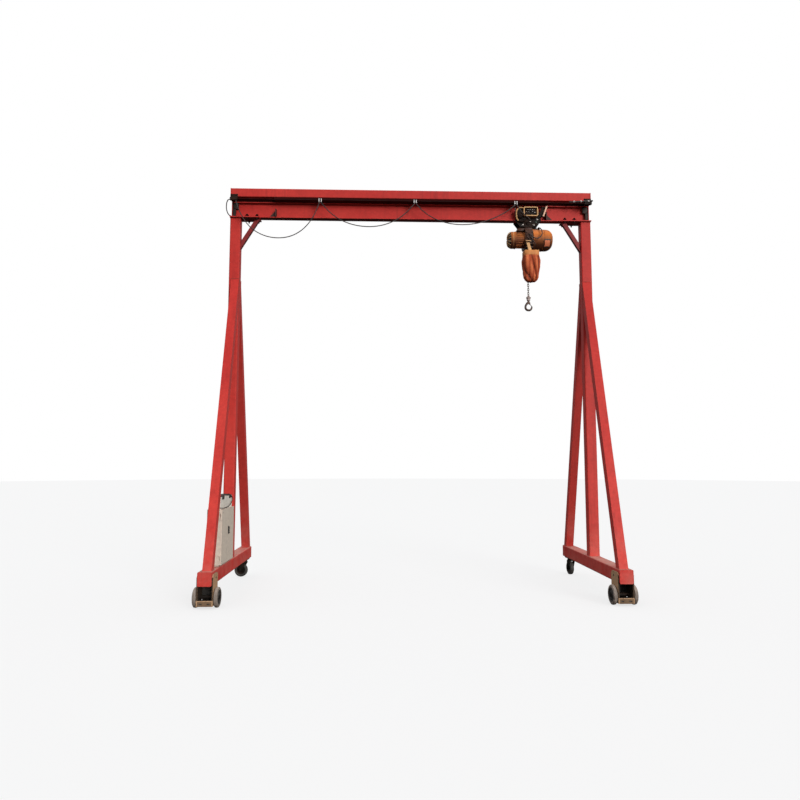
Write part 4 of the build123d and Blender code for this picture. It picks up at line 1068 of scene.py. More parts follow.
class CRANE_OT_control_cover(Operator):
    """Build the hoist's domed cover with its flange, seam, screws, patch and cable gland"""
    bl_idname = "crane.control_cover"
    bl_label = "Control cover"

    def execute(self, context):
        dome = context.scene.crane_hoist.dome_length
        foot = Vector((COVER_LOW.x, 0, HOIST_AXIS.z))
        length = COVER_HIGH.x - COVER_LOW.x
        radius = (COVER_HIGH.z - COVER_LOW.z) / 2
        body = radius - 0.006
        seam = length - dome - 0.030
        tip = 0.42 * body
        profile = [(-0.001, 0), (-0.001, radius - 0.002), (0.001, radius), (0.014, radius),
                   (0.016, radius - 0.002), (0.018, body), (seam - 0.003, body),
                   (seam - 0.002, body - 0.003), (seam + 0.002, body - 0.003), (seam + 0.003, body),
                   (length - dome, body)]
        for step in range(1, DOME_STEPS + 1):
            turn = math.pi / 2 * step / DOME_STEPS
            profile.append((length - dome * (1 - math.sin(turn)), tip + (body - tip) * math.cos(turn)))
        profile.append((length, 0))
        bm = bmesh.new()
        spun(bm, profile, foot, X_AXIS, steps=72)
        for turn in turns(COVER_SCREWS, 0.5):
            out = outwards(turn)
            bolt(bm, foot + X_AXIS * (seam - 0.014) + out * (body - 0.0003), out, 0.006)
            bolt(bm, foot + X_AXIS * 0.0155 + out * (body + 0.0025), X_AXIS, 0.004, washer=False)
        cover = add_piece("hoist_cover", bm, "hoist_paint", "trolley")
        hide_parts("control_cover")
        bm = bmesh.new()
        plate = [(seam + 0.004, body - 0.004), (seam + 0.070, body - 0.008), (seam + 0.070, body + 0.001),
                 (seam + 0.004, body + 0.002)]
        curved_plate(bm, plate, foot, X_AXIS, math.radians(196), math.radians(34))
        add_piece("cover_patch", bm, "hoist_paint", "trolley", "rust_patch")
        bm = bmesh.new()
        plate = [(seam, body - 0.004), (seam + 0.078, body - 0.010), (seam + 0.078, body - 0.0005),
                 (seam, body + 0.001)]
        curved_plate(bm, plate, foot, X_AXIS, math.radians(190), math.radians(47))
        place = standing(CABLE_GLAND, GLAND_LEAN)
        cone(bm, place, 0.017, 0.017, -0.006, 0.004, 24)
        cone(bm, place, 0.016, 0.016, 0.0038, 0.016, 6)
        cone(bm, place, 0.014, 0.009, 0.0158, 0.027, 20)
        knob = CABLE_GLAND + Vector((-0.030, 0.030, 0.006))
        out = Vector((0, knob.y, knob.z - HOIST_AXIS.z)).normalized()
        knob_axis = Vector((knob.x, 0, HOIST_AXIS.z))
        place = standing(knob_axis + out * (body - 0.002), out)
        cone(bm, place, 0.022, 0.022, 0, 0.010, 28)
        cone(bm, place, 0.017, 0.013, 0.0098, 0.034, 24)
        add_piece("cover_fittings", bm, "black_plastic", "trolley")
        bm = bmesh.new()
        top = knob_axis + out * (body + 0.030)
        line = spline_points([
            top, top + Vector((0.014, -0.006, 0.020)), top + Vector((0.010, -0.020, 0.046)),
            Vector((top.x + 0.004, -0.068, 4.628)), Vector((top.x, -0.067, 4.640))])
        tube_along(bm, line, 0.0022, sides=8)
        add_piece("earth_wire", bm, "black_plastic", "trolley", "green_wire")
        bm = bmesh.new()
        front = HOUSING_LOW.y
        line = spline_points([(1.512, front + 0.001, 4.412), (1.516, front - 0.016, 4.402),
                              (1.536, front - 0.030, 4.368), (1.556, front - 0.032, 4.330),
                              (1.570, front - 0.022, 4.300), (1.574, front + 0.012, 4.288)])
        tube_along(bm, line, 0.0045, sides=10)
        add_piece("limit_switch_lead", bm, "cable_black", "trolley")
        return {"FINISHED"}


class CRANE_OT_housing_parts(Operator):
    """Add the greasy castings, plates and bolts on and above the hoist housing"""
    bl_idname = "crane.housing_parts"
    bl_label = "Housing castings"

    def execute(self, context):
        low, high = HOUSING_LOW, HOUSING_HIGH
        top = HOIST_AXIS.z + (HOIST_AXIS.z - low.z)
        bm = bmesh.new()
        bar(bm, (low.x + 0.006, low.y - 0.010, low.z + 0.050), (high.x - 0.006, low.y + 0.002, top - 0.045),
            0.004)
        place = standing((HOIST_AXIS.x - 0.182, low.y - 0.009, HOIST_AXIS.z + 0.004), -Y_AXIS)
        cone(bm, place, 0.036, 0.033, 0, 0.016, 40)
        cone(bm, place, 0.020, 0.018, 0.0158, 0.024, 24)
        for x in (low.x + 0.016, high.x - 0.016):
            for z in (low.z + 0.062, top - 0.057):
                bolt(bm, Vector((x, low.y - 0.0098, z)), -Y_AXIS, 0.009)
        bar(bm, (low.x + 0.004, low.y + 0.004, low.z - 0.010),
            (high.x - 0.004, low.y + 0.105, low.z + 0.004), 0.003)
        for side in SIDES:
            bar(bm, (low.x + 0.004, side * 0.062 - 0.022, top - 0.004),
                (high.x - 0.004, side * 0.062 + 0.022, top + 0.024), 0.005)
        bar(bm, (low.x - 0.094, -0.058, top - 0.016), (low.x + 0.012, 0.058, top + 0.016), 0.008)
        bar(bm, (low.x - 0.070, -0.046, top + 0.014), (low.x + 0.020, 0.046, top + 0.034), 0.006)
        for x, y in ((-0.074, -0.040), (-0.030, -0.040), (-0.074, 0.040), (-0.030, 0.040)):
            bolt(bm, Vector((low.x + x, y, top + 0.0155)), Z_AXIS, 0.008)
        add_piece("housing_castings", bm, "hoist_paint", "trolley", "greasy_paint")
        bm = bmesh.new()
        place = Matrix.Translation((low.x + 0.030, low.y - 0.014, low.z + 0.066))
        bar(bm, (-0.034, -0.010, -0.005), (0.036, 0.006, 0.005), 0.002, place=place)
        bolt(bm, Vector((low.x + 0.010, low.y - 0.0238, low.z + 0.066)), -Y_AXIS, 0.006)
        add_piece("strap_clamp", bm, "hoist_paint", "trolley", "faded_yellow")
        return {"FINISHED"}


# Trolley

PLATES_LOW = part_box("trolley_side_plates")[0]
DRIVE_DEPTH = 0.030
DRIVE_DROP = 0.024
# Where the bolts of the side plates sit, from the hook's axis and the row's height
PLATE_BOLTS = ((-0.118, 0.010), (0.118, 0.010), (-0.070, -0.062), (0.070, -0.062),
               (0.030, -0.020), (-0.006, -0.055))


class CRANE_OT_trolley_drive(Operator):
    """Build the greasy gear cover with its worn rim, the drive end and the bolts of the side plates"""
    bl_idname = "crane.trolley_drive"
    bl_label = "Trolley drive"

    def execute(self, context):
        low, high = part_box("trolley_gearbox")
        back = PLATES_LOW.y
        front = back - DRIVE_DEPTH
        width, height = high.x - low.x, high.z - low.z
        centre = (low + high) / 2
        bm = bmesh.new()
        thick_outline(bm, slot_outline(centre, width - 0.004, height - 0.004, back), DRIVE_DEPTH, 0.009)
        place = standing((centre.x - 0.016, front, centre.z - DRIVE_DROP), -Y_AXIS)
        cone(bm, place, 0.031, 0.029, -0.002, 0.018, 36)
        cone(bm, place, 0.024, 0.020, 0.0178, 0.028, 30)
        for turn in turns(6):
            reach = Vector((math.cos(turn), 0, math.sin(turn))) * 0.047
            bolt(bm, Vector((centre.x, front + 0.0003, centre.z - DRIVE_DROP)) + reach, -Y_AXIS, 0.006)
        cover = add_piece("drive_cover", bm, "dark_steel", "trolley")
        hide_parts("trolley_gearbox")
        bm = bmesh.new()
        rim = slot_outline(centre, width - 0.010, height - 0.010, back - 0.026)
        tube_along(bm, rim[2:len(rim) // 2 + 5], 0.0095, sides=8)
        add_piece("drive_cover_rim", bm, "hoist_paint", "trolley", "faded_yellow")
        bm = bmesh.new()
        for x, z in PLATE_BOLTS:
            for way in SIDES:
                seat = Vector((HOIST_X + x, way * (-back - 0.0003), PLATES_LOW.z + 0.090 + z))
                bolt(bm, seat, Y_AXIS * way, 0.011)
        add_piece("side_plate_bolts", bm, "dark_steel", "trolley", "bright_steel")
        return {"FINISHED"}


# Where the terminals in the switch box sit, from its lower left corner
TERMINALS = ((0.036, 0.060), (0.064, 0.058), (0.110, 0.062), (0.140, 0.055))
SWITCHES = 5


class CRANE_OT_switch_box(Operator):
    """Build the trolley's open switch box with its pale frame and what shows inside it"""
    bl_idname = "crane.switch_box"
    bl_label = "Switch box"

    def execute(self, context):
        low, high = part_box("trolley_box")
        back = low.y + 0.040
        bm = bmesh.new()
        corners = cube_between(bm, low, (high.x, back, high.z))
        upright = [edge for edge in {e for vert in corners for e in vert.link_edges}
                   if abs(edge.verts[0].co.y - edge.verts[1].co.y) > 0.01]
        round_edges(bm, upright, 0.020, 4)
        face = min(bm.faces, key=lambda found: found.calc_center_median().y)
        bmesh.ops.inset_region(bm, faces=[face], thickness=0.013, use_even_offset=True)
        deep = bmesh.ops.extrude_face_region(bm, geom=[face])["geom"]
        bmesh.ops.translate(bm, verts=only(bmesh.types.BMVert, deep), vec=(0, 0.028, 0))
        bmesh.ops.delete(bm, geom=[face], context="FACES_ONLY")
        bmesh.ops.recalc_face_normals(bm, faces=bm.faces)
        sharp = [e for e in bm.edges if len(e.link_faces) == 2 and e.calc_face_angle(0) > 0.9]
        round_edges(bm, sharp, 0.0025, 2)
        bar(bm, (high.x - 0.135, back - 0.001, low.z),
            (high.x - 0.015, PLATES_LOW.y + 0.001, low.z + 0.012), 0.002)
        box = add_piece("switch_box", bm, "hoist_paint", "trolley", "faded_yellow")
        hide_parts("trolley_box")
        bm = bmesh.new()
        floor = low.y + 0.0285
        bar(bm, (low.x + 0.0145, floor - 0.003, low.z + 0.0145),
            (high.x - 0.0145, floor + 0.001, high.z - 0.0145), 0.001)
        bar(bm, (low.x + 0.030, floor - 0.016, low.z + 0.022),
            (high.x - 0.030, floor - 0.001, low.z + 0.044), 0.003)
        bar(bm, (low.x + 0.050, floor - 0.020, high.z - 0.052),
            (high.x - 0.046, floor - 0.001, high.z - 0.026), 0.004)
        add_piece("switch_box_inside", bm, "black_plastic", "trolley", "dark_steel")
        bm = bmesh.new()
        for number in range(SWITCHES):
            x = low.x + 0.048 + number * 0.022
            place = standing((x, floor - 0.019, high.z - 0.039), -Y_AXIS, number * 0.7)
            cone(bm, place, 0.0045, 0.004, -0.004, 0.004, 12)
        for x, z in TERMINALS:
            x, z = low.x + x, low.z + z
            bar(bm, (x, floor - 0.010, z), (x + 0.010, floor - 0.002, z + 0.007), 0.001)
        add_piece("switch_box_terminals", bm, "bright_steel", "trolley")
        return {"FINISHED"}


LIP_LEAN = 0.048
LIP_WIDTH = 0.019


class CRANE_OT_bumper_lip(Operator):
    """Set the pale pink lip along the bumper that meets the end stop, its colour a painted highlight for the
    bumper's lit edge
    """
    bl_idname = "crane.bumper_lip"
    bl_label = "Bumper lip"

    def execute(self, context):
        low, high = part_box("bumper_bracket")
        foot = high.x - LIP_LEAN
        corners = ((foot - LIP_WIDTH, low.z), (foot, low.z), (high.x, high.z), (high.x - LIP_WIDTH, high.z))
        bm = bmesh.new()
        thick_outline(bm, [Vector((x, low.y + 0.001, z)) for x, z in corners], 0.006, 0.0015)
        add_piece("bumper_lip", bm, "dark_steel", "trolley", "highlight_pink")
        return {"FINISHED"}


# Chain and hook

CHAIN_WIRE = 0.008
CHAIN_PITCH = 0.0268
LINK_LENGTH = 0.043
LINK_STEPS = 20


class CRANE_OT_load_chain(Operator):
    """Hang the load chain in round links, each a quarter turn from the last"""
    bl_idname = "crane.load_chain"
    bl_label = "Load chain"

    def execute(self, context):
        sides = context.scene.crane_hoist.link_sides
        low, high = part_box("load_chain")
        width = high.x - low.x
        count = round((high.z - low.z - LINK_LENGTH) / CHAIN_PITCH) + 1
        straight = LINK_LENGTH - width
        bm = bmesh.new()
        for number in range(count):
            centre = Vector((HOIST_X, 0, high.z - LINK_LENGTH / 2 - number * CHAIN_PITCH))
            turn = Matrix.Rotation(math.pi / 2 * (number % 2), 4, "Z")
            place = Matrix.Translation(centre) @ turn @ Matrix.Translation(((width - CHAIN_WIRE) / 2, 0, 0))
            ring = bmesh.ops.create_circle(bm, segments=sides, radius=CHAIN_WIRE / 2, matrix=place)["verts"]
            edges = loop_edges(ring)
            before = set(bm.faces)
            bmesh.ops.spin(bm, geom=ring + edges, cent=centre, axis=turn.to_3x3() @ Y_AXIS,
                           angle=2 * math.pi, steps=LINK_STEPS, use_merge=True)
            made = [face for face in bm.faces if face not in before]
            for vert in {vert for face in made for vert in face.verts}:
                away = vert.co.z - centre.z
                vert.co.z += math.copysign(straight / 2, away if abs(away) > 0.0008 else 1.0)
            bmesh.ops.recalc_face_normals(bm, faces=made)
        chain = new_object("load_chain_links", bm)
        chain.data.shade_smooth()
        chain.data.materials.append(finish("bright_steel"))
        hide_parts("load_chain")
        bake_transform(chain)
        return {"FINISHED"}


# The hook's middle line below its shank in X and Z, and its radius in millimetres from end to end
HOOK_LINE = ((0, 0.078), (-0.003, 0.066), (-0.014, 0.052), (-0.029, 0.036), (-0.039, 0.016),
             (-0.0415, -0.004), (-0.036, -0.024), (-0.021, -0.038), (0, -0.0425), (0.020, -0.038),
             (0.034, -0.025), (0.0405, -0.008), (0.0405, 0.006), (0.0385, 0.0135))
HOOK_SIZES = (13, 13, 13, 14, 14.5, 13.5, 13, 13.2, 13.8, 14.0, 13.6, 13, 12.4, 11.5, 9.5, 5.5)
LUG_THICKNESS = 0.005


def between(values, share):
    """A value at that share of the way through a row of values."""
    place = share * (len(values) - 1)
    first = min(int(place), len(values) - 2)
    return values[first] + (values[first + 1] - values[first]) * (place - first)


class CRANE_OT_hook(Operator):
    """Forge the hook, round from its shank to its point, with the lugs and pin of its latch"""
    bl_idname = "crane.hook"
    bl_label = "Hook"

    def execute(self, context):
        low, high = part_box("hook")
        centre = Vector((HOIST_X, 0, low.z + 0.056))
        shank = high.z - centre.z
        path = ((0, shank), (0, shank - 0.012), *HOOK_LINE)
        line = spline_points([centre + Vector((x, 0, z)) for x, z in path])
        radii = [between(HOOK_SIZES, number / (len(line) - 1)) for number in range(len(line))]
        bm = bmesh.new()
        tube_along(bm, line, 0.001, sides=20, radii=radii)
        pin = Vector(joint_named("latch_hinge")["pos_m"])
        outline = [centre + Vector((x, 0, z)) for x, z in ((-0.004, 0.072), (0.014, 0.068))]
        outline += [pin + Vector((x, 0, z)) for x, z in ((0.007, 0.004), (0.004, -0.006), (-0.006, -0.002))]
        outline.append(centre + Vector((-0.006, 0, 0.050)))
        for side in SIDES:
            y = side * 0.0095 + LUG_THICKNESS / 2
            extruded(bm, [(point.x, y, point.z) for point in outline], (0, -LUG_THICKNESS, 0))
        cone(bm, standing(pin + Vector((0, 0.0135, 0)), -Y_AXIS), 0.002, 0.002, 0, 0.027, 16)
        bmesh.ops.recalc_face_normals(bm, faces=bm.faces)
        hook = add_piece("forged_hook", bm, "hook_steel", "hook", angle=50)
        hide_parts("hook")
        return {"FINISHED"}


# Wheels

class CRANE_OT_front_wheels(Operator):
    """Build the front wheels with dusty treads, black discs, hubs, bolts and axle caps"""
    bl_idname = "crane.front_wheels"
    bl_label = "Front wheels"

    def execute(self, context):
        wheels = context.scene.crane_wheels
        for side in LEGS:
            name = f"front_wheels_{side}"
            low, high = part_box(name)
            centre = (low + high) / 2
            radius = (high.z - low.z) / 2
            reach = (high.x - low.x) / 2
            bracket_low, bracket_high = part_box(f"front_bracket_{side}")
            inner = (bracket_high.x - bracket_low.x) / 2 + 0.005
            width = reach - inner
            crown = radius - wheels.tread_crown
            sunk = width - wheels.disc_recess
            treads, discs, caps = bmesh.new(), bmesh.new(), bmesh.new()
            for axis in (-X_AXIS, X_AXIS):
                face = centre + axis * inner
                spun(treads, [(0.001, radius - 0.030), (0, radius - 0.012), (0.006, crown),
                              (width / 2, radius), (width - 0.006, crown), (width, radius - 0.012),
                              (width - 0.001, radius - 0.030)], face, axis, steps=72)
                profile = [(0.002, 0.0202), (0.002, radius - 0.029), (width - 0.002, radius - 0.029),
                           (width - 0.002, radius - 0.036), (sunk, radius - 0.042), (sunk, 0.044),
                           (width - 0.003, 0.038), (width - 0.001, 0.0202)]
                spun(discs, profile + profile[:1], face, axis, steps=64)
                for turn in turns(wheels.hub_bolts):
                    seat = face + axis * (sunk - 0.0002) + outwards(turn) * wheels.hub_circle
                    bolt(discs, seat, axis, 0.008)
                place = standing(centre + axis * (reach - 0.002), axis)
                cone(caps, place, 0.026, 0.026, 0, 0.005, 32)
                cone(caps, place, 0.017, 0.015, 0.0048, 0.009, 6)
            tread = add_piece(f"{name}_treads", treads, "tyre_rubber", name, "dusty_tread")
            add_piece(f"{name}_discs", discs, "tyre_rubber", name)
            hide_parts(name)
            add_piece(f"front_axle_{side}_caps", caps, "dark_steel", name)
        return {"FINISHED"}


CASTOR_HALF = 0.030


class CRANE_OT_castors(Operator):
    """Build the rear castor wheels and the nuts of their axles"""
    bl_idname = "crane.castors"
    bl_label = "Rear castors"

    def execute(self, context):
        half = CASTOR_HALF
        for side in LEGS:
            wheel = f"castor_wheel_{side}"
            joint = joint_named(f"castor_{side}_roll")
            centre = Vector(joint["pos_m"])
            axis = Vector(joint["axis"]).normalized()
            radius = centre.z
            tyres, discs, nuts = bmesh.new(), bmesh.new(), bmesh.new()
            for way in (-axis, axis):
                spun(tyres, [(0, 0.058), (half - 0.006, 0.058), (half - 0.003, 0.062),
                             (half - 0.001, radius - 0.016), (half - 0.008, radius - 0.004),
                             (half - 0.018, radius - 0.0005), (0, radius)], centre, way, steps=64)
                spun(discs, [(0, 0.0101), (0, 0.0588), (half - 0.008, 0.0588), (half - 0.010, 0.052),
                             (half - 0.016, 0.046), (half - 0.016, 0.030), (half - 0.004, 0.026),
                             (half + 0.0035, 0.026), (half + 0.0035, 0.0101)], centre, way, steps=56)
                place = standing(centre + way * 0.0428, way)
                cone(nuts, place, 0.0175, 0.0175, 0, 0.003, 28)
                cone(nuts, place, 0.015, 0.013, 0.0028, 0.0085, 6)
            bmesh.ops.remove_doubles(tyres, verts=tyres.verts, dist=1e-5)
            tyre = add_piece(f"castor_tyre_{side}", tyres, "tyre_rubber", wheel)
            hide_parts(wheel)
            add_piece(f"castor_disc_{side}", discs, "tyre_rubber", wheel, "dark_steel")
            add_piece(f"castor_axle_nuts_{side}", nuts, "dark_steel", f"castor_fork_{side}")
        return {"FINISHED"}


class CRANE_OT_flaps(Operator):
    """Hang dark sheets behind the front wheels and fix black angles at the beam's ends, as painted shade where
    those places lie in shadow
    """
    bl_idname = "crane.flaps"
    bl_label = "Flaps and end angles"

    def execute(self, context):
        # Painted shade: dark sheets between the bracket plates, behind the wheels and the sweeper.
        bm = bmesh.new()
        for side in LEGS:
            low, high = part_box(f"front_bracket_{side}")
            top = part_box(f"bottom_rail_{side}")[0].z
            half = (high.x - low.x) / 2
            centre = (low.x + high.x) / 2
            start, end = centre - half + 0.0125, centre + half - 0.0125
            bar(bm, (start, high.y - 0.012, low.z + 0.006), (end, high.y - 0.009, top + 0.0005), 0.0008)
            bar(bm, (start, high.y - 0.030, top - 0.004), (end, high.y - 0.008, top + 0.0005), 0.0008)
            bar(bm, (start, SWEEPER_BACK + 0.001, low.z + 0.003), (end, SWEEPER_BACK + 0.003, SWEEPER_TOP),
                0.0005, 1)
            for way in SIDES:
                face = Vector((centre + way * (half - 0.009), low.y + 0.135, high.z - 0.050))
                cone(bm, standing(face, X_AXIS * way), 0.0116, 0.0116, -0.001, 0.010, 24)
        add_piece("wheel_shade_flaps", bm, "tyre_rubber", "frame")
        # Painted shade: black angles on the web at the beam's ends.
        bm = bmesh.new()
        low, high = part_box("i_beam")
        legs = ((0.010, 0.072, high.z - 0.090, high.z - 0.0085),
                (0.006, 0.040, low.z + 0.010, high.z - 0.080))
        for sign in SIDES:
            for way in SIDES:
                deep = sorted((way * 0.005, way * (high.y - 0.004)))
                for near, far, bottom, top in legs:
                    ends = sorted((sign * (high.x - near), sign * (high.x - far)))
                    bar(bm, (ends[0], deep[0], bottom), (ends[1], deep[1], top), 0.002)
        add_piece("beam_end_shade_angles", bm, "black_paint", "frame")
        return {"FINISHED"}


# Welds and bolts

DIAGONAL_DEPTH = 0.104
DIAGONAL_DROP = 0.345


def weld_round(bm, low, high, z, leg):
    """A bead round an upright member at that height."""
    corners = ((low.x, low.y), (high.x, low.y), (high.x, high.y), (low.x, high.y), (low.x, low.y))
    weld(bm, [(x, y, z) for x, y in corners], leg)


class CRANE_OT_welds(Operator):
    """Lay the weld beads round the posts, the diagonals, the knee braces and the beam's ends"""
    bl_idname = "crane.welds"
    bl_label = "Welds"

    def execute(self, context):
        leg = context.scene.crane_fasteners.weld_leg
        random.seed(7)
        bm = bmesh.new()
        for side in LEGS:
            post_low, post_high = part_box(f"post_{side}")
            weld_round(bm, post_low, post_high, post_low.z, leg)
            low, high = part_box(f"front_diagonal_{side}")
            high.y = low.y + DIAGONAL_DEPTH
            weld_round(bm, low, high, low.z, leg)
            low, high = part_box(f"rear_diagonal_{side}")
            low.y = high.y - DIAGONAL_DEPTH
            weld_round(bm, low, high, low.z, leg)
            weld_round(bm, post_low, post_high, post_high.z, leg)
            for node, way in ((f"front_diagonal_{side}", -1), (f"rear_diagonal_{side}", 1)):
                low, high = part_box(node)
                y = way * (post_high.y - post_low.y) / 2
                drop = high.z - DIAGONAL_DROP
                weld(bm, [(low.x, y, drop), (low.x, y, high.z), (high.x, y, high.z), (high.x, y, drop)],
                     leg)
        low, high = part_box("knee_braces")
        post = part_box("post_right")[0].x
        foot = abs(low.x) - 0.240
        for sign in SIDES:
            weld(bm, [(sign * (foot + reach), low.y, high.z) for reach in (0.002, 0.058)], leg * 0.8)
            weld(bm, [(sign * post, low.y, low.z + rise) for rise in (0.004, 0.092)], leg * 0.8)
        add_piece("leg_welds", bm, "red_paint", "frame", "weld_steel")
        bm = bmesh.new()
        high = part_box("beam_end_plates")[1]
        beam_low, beam_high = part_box("i_beam")
        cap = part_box("beam_cap")[0].z
        for sign in SIDES:
            x = sign * (high.x - 0.0085)
            for y, bottom, top in ((0.051, beam_low.z + 0.002, beam_high.z - 0.002),
                                   (0.141, cap + 0.012, high.z - 0.012)):
                for way in SIDES:
                    weld(bm, [(x, way * y, bottom), (x, way * y, top)], leg * 0.7)
        add_piece("beam_end_welds", bm, "red_paint", "frame", "weld_steel")
        return {"FINISHED"}


SADDLE_BOLTS = (1.975, 2.100)
WIRE_BRACKET_BOLTS = (0.020, 0.072)
CASTOR_BOLTS = 0.051


class CRANE_OT_bolts(Operator):
    """Set the bolts, nuts and clamps of the saddles, castor plates and end brackets"""
    bl_idname = "crane.bolts"
    bl_label = "Bolts"

    def execute(self, context):
        size = context.scene.crane_fasteners.bolt_size
        random.seed(11)
        low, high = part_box("saddle_plates")
        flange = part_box("i_beam")[1].y
        bm = bmesh.new()
        clamps = bmesh.new()
        for sign in SIDES:
            for x in (sign * reach for reach in SADDLE_BOLTS):
                for way in SIDES:
                    y = way * (flange + 0.019)
                    bar(clamps, (x - 0.022, y - 0.017, high.z - 0.0005),
                        (x + 0.022, y + 0.017, high.z + 0.010), 0.002)
                    bar(clamps, (x - 0.022, way * (flange + 0.004) - 0.010, high.z + 0.0095),
                        (x + 0.022, y + 0.012, high.z + 0.021), 0.002)
                    bolt(bm, Vector((x, y, high.z + 0.0208)), Z_AXIS, size)
                    bolt(bm, Vector((x, y, low.z + 0.0003)), -Z_AXIS, size)
                    cone(bm, standing((x, y, low.z), -Z_AXIS), size / 2, size / 2, 0.006, 0.026, 16)
        add_piece("saddle_bolts", bm, "dark_steel", "frame")
        add_piece("saddle_clamps", clamps, "red_paint", "frame", "shadow_painted_red")
        bm = bmesh.new()
        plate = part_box("castor_plates")[0].z
        for side in LEGS:
            pivot = Vector(joint_named(f"castor_{side}_swivel")["pos_m"])
            for x in SIDES:
                for y in SIDES:
                    seat = Vector((pivot.x + x * CASTOR_BOLTS, pivot.y + y * CASTOR_BOLTS, plate + 0.0003))
                    bolt(bm, seat, -Z_AXIS, 0.010)
        add_piece("castor_plate_bolts", bm, "dark_steel", "frame")
        bm = bmesh.new()
        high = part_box("wire_brackets")[1]
        for sign in SIDES:
            for inset in WIRE_BRACKET_BOLTS:
                bolt(bm, Vector((sign * (high.x - inset), -0.1457, high.z - 0.014)), -Y_AXIS, 0.008)
        add_piece("wire_bracket_bolts", bm, "dark_steel", "frame")
        return {"FINISHED"}


# Cabinet

HANDLE_GRIPS = 4
VENT_SLATS = 6


class CRANE_OT_cabinet(Operator):
    """Dress the cabinet: the handle's grips, the door's screws, the head's vents and cable entries"""
    bl_idname = "crane.cabinet"
    bl_label = "Cabinet"

    def execute(self, context):
        low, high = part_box("cabinet_door")
        face = high.x
        grip_low, grip_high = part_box("door_handle")
        y = (grip_low.y + grip_high.y) / 2
        bm = bmesh.new()
        for number in range(HANDLE_GRIPS):
            z = grip_low.z + 0.004 + number * (grip_high.z - grip_low.z - 0.008) / HANDLE_GRIPS
            bar(bm, (face - 0.001, y - 0.011, z), (grip_high.x, y + 0.011, z + 0.0165), 0.003)
        bar(bm, (face - 0.001, y - 0.008, grip_low.z), (face + 0.008, y + 0.008, grip_high.z), 0.002)
        handle = add_piece("door_handle_grips", bm, "black_plastic", "cabinet_door")
        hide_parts("door_handle")
        bm = bmesh.new()
        for y in (low.y + 0.050, high.y - 0.030):
            for z in (low.z + 0.035, high.z - 0.035):
                cone(bm, standing((face - 0.0005, y, z), X_AXIS), 0.006, 0.005, 0, 0.003, 20)
        add_piece("door_screws", bm, "cabinet_grey", "cabinet_door", "bright_steel")
        low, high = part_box("cabinet_head")
        bm = bmesh.new()
        for y, wide in ((low.y + 0.050, 0.120), (high.y - 0.170, 0.150)):
            bar(bm, (low.x + 0.020, y, high.z - 0.001), (high.x - 0.012, y + wide, high.z + 0.016), 0.005)
            bar(bm, (high.x - 0.014, y + 0.010, high.z - 0.030),
                (high.x + 0.004, y + wide - 0.010, high.z + 0.012), 0.004)
        add_piece("head_cable_entries", bm, "black_plastic", "frame")
        bm = bmesh.new()
        for number in range(VENT_SLATS):
            z = low.z + 0.022 + number * 0.010
            bar(bm, (high.x - 0.001, low.y + 0.090, z), (high.x + 0.002, low.y + 0.250, z + 0.004), 0.001)
        add_piece("head_vents", bm, "cabinet_grey", "frame", "pale_enamel")
        return {"FINISHED"}


# Stage

FLOOR_RADIUS = 60.0
SENSOR_WIDTH = 36.0
LAMP_WIDTH = math.radians(28)
LAMP_DIRECTION = (0.48, -0.86, 0.17)


def blended(tree, share, first, second):
    """Two shaders mixed by a share."""
    node = add(tree, "ShaderNodeMixShader", None, Fac=share, Shader=first, Shader_001=second)
    return node.outputs["Shader"]


def seen_or_not(tree, seen, unseen):
    """One shader for what the camera sees, another for what lights the crane."""
    share = add(tree, "ShaderNodeLightPath").outputs["Is Camera Ray"]
    return blended(tree, share, unseen, seen)


def pale_floor(settings):
    """The floor: bright to the camera, dark to the light that reaches the crane from below."""
    bm = bmesh.new()
    bmesh.ops.create_circle(bm, cap_ends=True, segments=96, radius=FLOOR_RADIUS)
    floor = new_object("floor", bm)
    material = bpy.data.materials.new("floor")
    tree = emptied(material)
    tone = settings.floor_tone
    lit = add(tree, "ShaderNodeBsdfDiffuse", None, Color=(tone, tone, tone, 1)).outputs["BSDF"]
    glow = add(tree, "ShaderNodeEmission", None, Color=(1, 1, 1, 1)).outputs["Emission"]
    seen = blended(tree, settings.floor_glow, lit, glow)
    unseen = add(tree, "ShaderNodeBsdfDiffuse", None, Color=(0.05, 0.045, 0.04, 1)).outputs["BSDF"]
    surface = tree.nodes.new("ShaderNodeOutputMaterial")
    tree.links.new(seen_or_not(tree, seen, unseen), surface.inputs["Surface"])
    floor.data.materials.append(material)


def soft_sky(settings):
    """The world: white to the camera, and a soft light that is brighter from above and the front."""
    world = bpy.data.worlds.new("studio")
    tree = emptied(world)
    white = add(tree, "ShaderNodeBackground", None, Color=(1, 1, 1, 1), Strength=1.0).outputs[0]
    way = add(tree, "ShaderNodeTexCoord").outputs["Generated"]
    way = add(tree, "ShaderNodeSeparateXYZ", None, Vector=way).outputs
    above = remap(tree, way["Z"], -0.22, 0.20, 0.06, 1.0)
    above = calc(tree, "MULTIPLY", above, remap(tree, way["Z"], 0.2, 1.0, 1.0, 1.8))
    front = remap(tree, way["Y"], -0.8, 0.5, 1.15, 0.80)
    strength = calc(tree, "MULTIPLY", calc(tree, "MULTIPLY", above, front), settings.sky_strength)
    dim = add(tree, "ShaderNodeBackground", None, Color=(0.97, 0.98, 1, 1), Strength=strength).outputs[0]
    surface = tree.nodes.new("ShaderNodeOutputWorld")
    tree.links.new(seen_or_not(tree, white, dim), surface.inputs["Surface"])
    return world


def key_light(settings):
    """A large soft light from the front, the right and a little above."""
    key = bpy.data.lights.new("key", "SUN")
    key.energy = settings.key_strength
    key.angle = LAMP_WIDTH
    key.color = (1.0, 0.985, 0.96)
    lamp = bpy.data.objects.new("key", key)
    lamp.rotation_euler = Vector(LAMP_DIRECTION).to_track_quat("Z", "Y").to_euler()
    return lamp


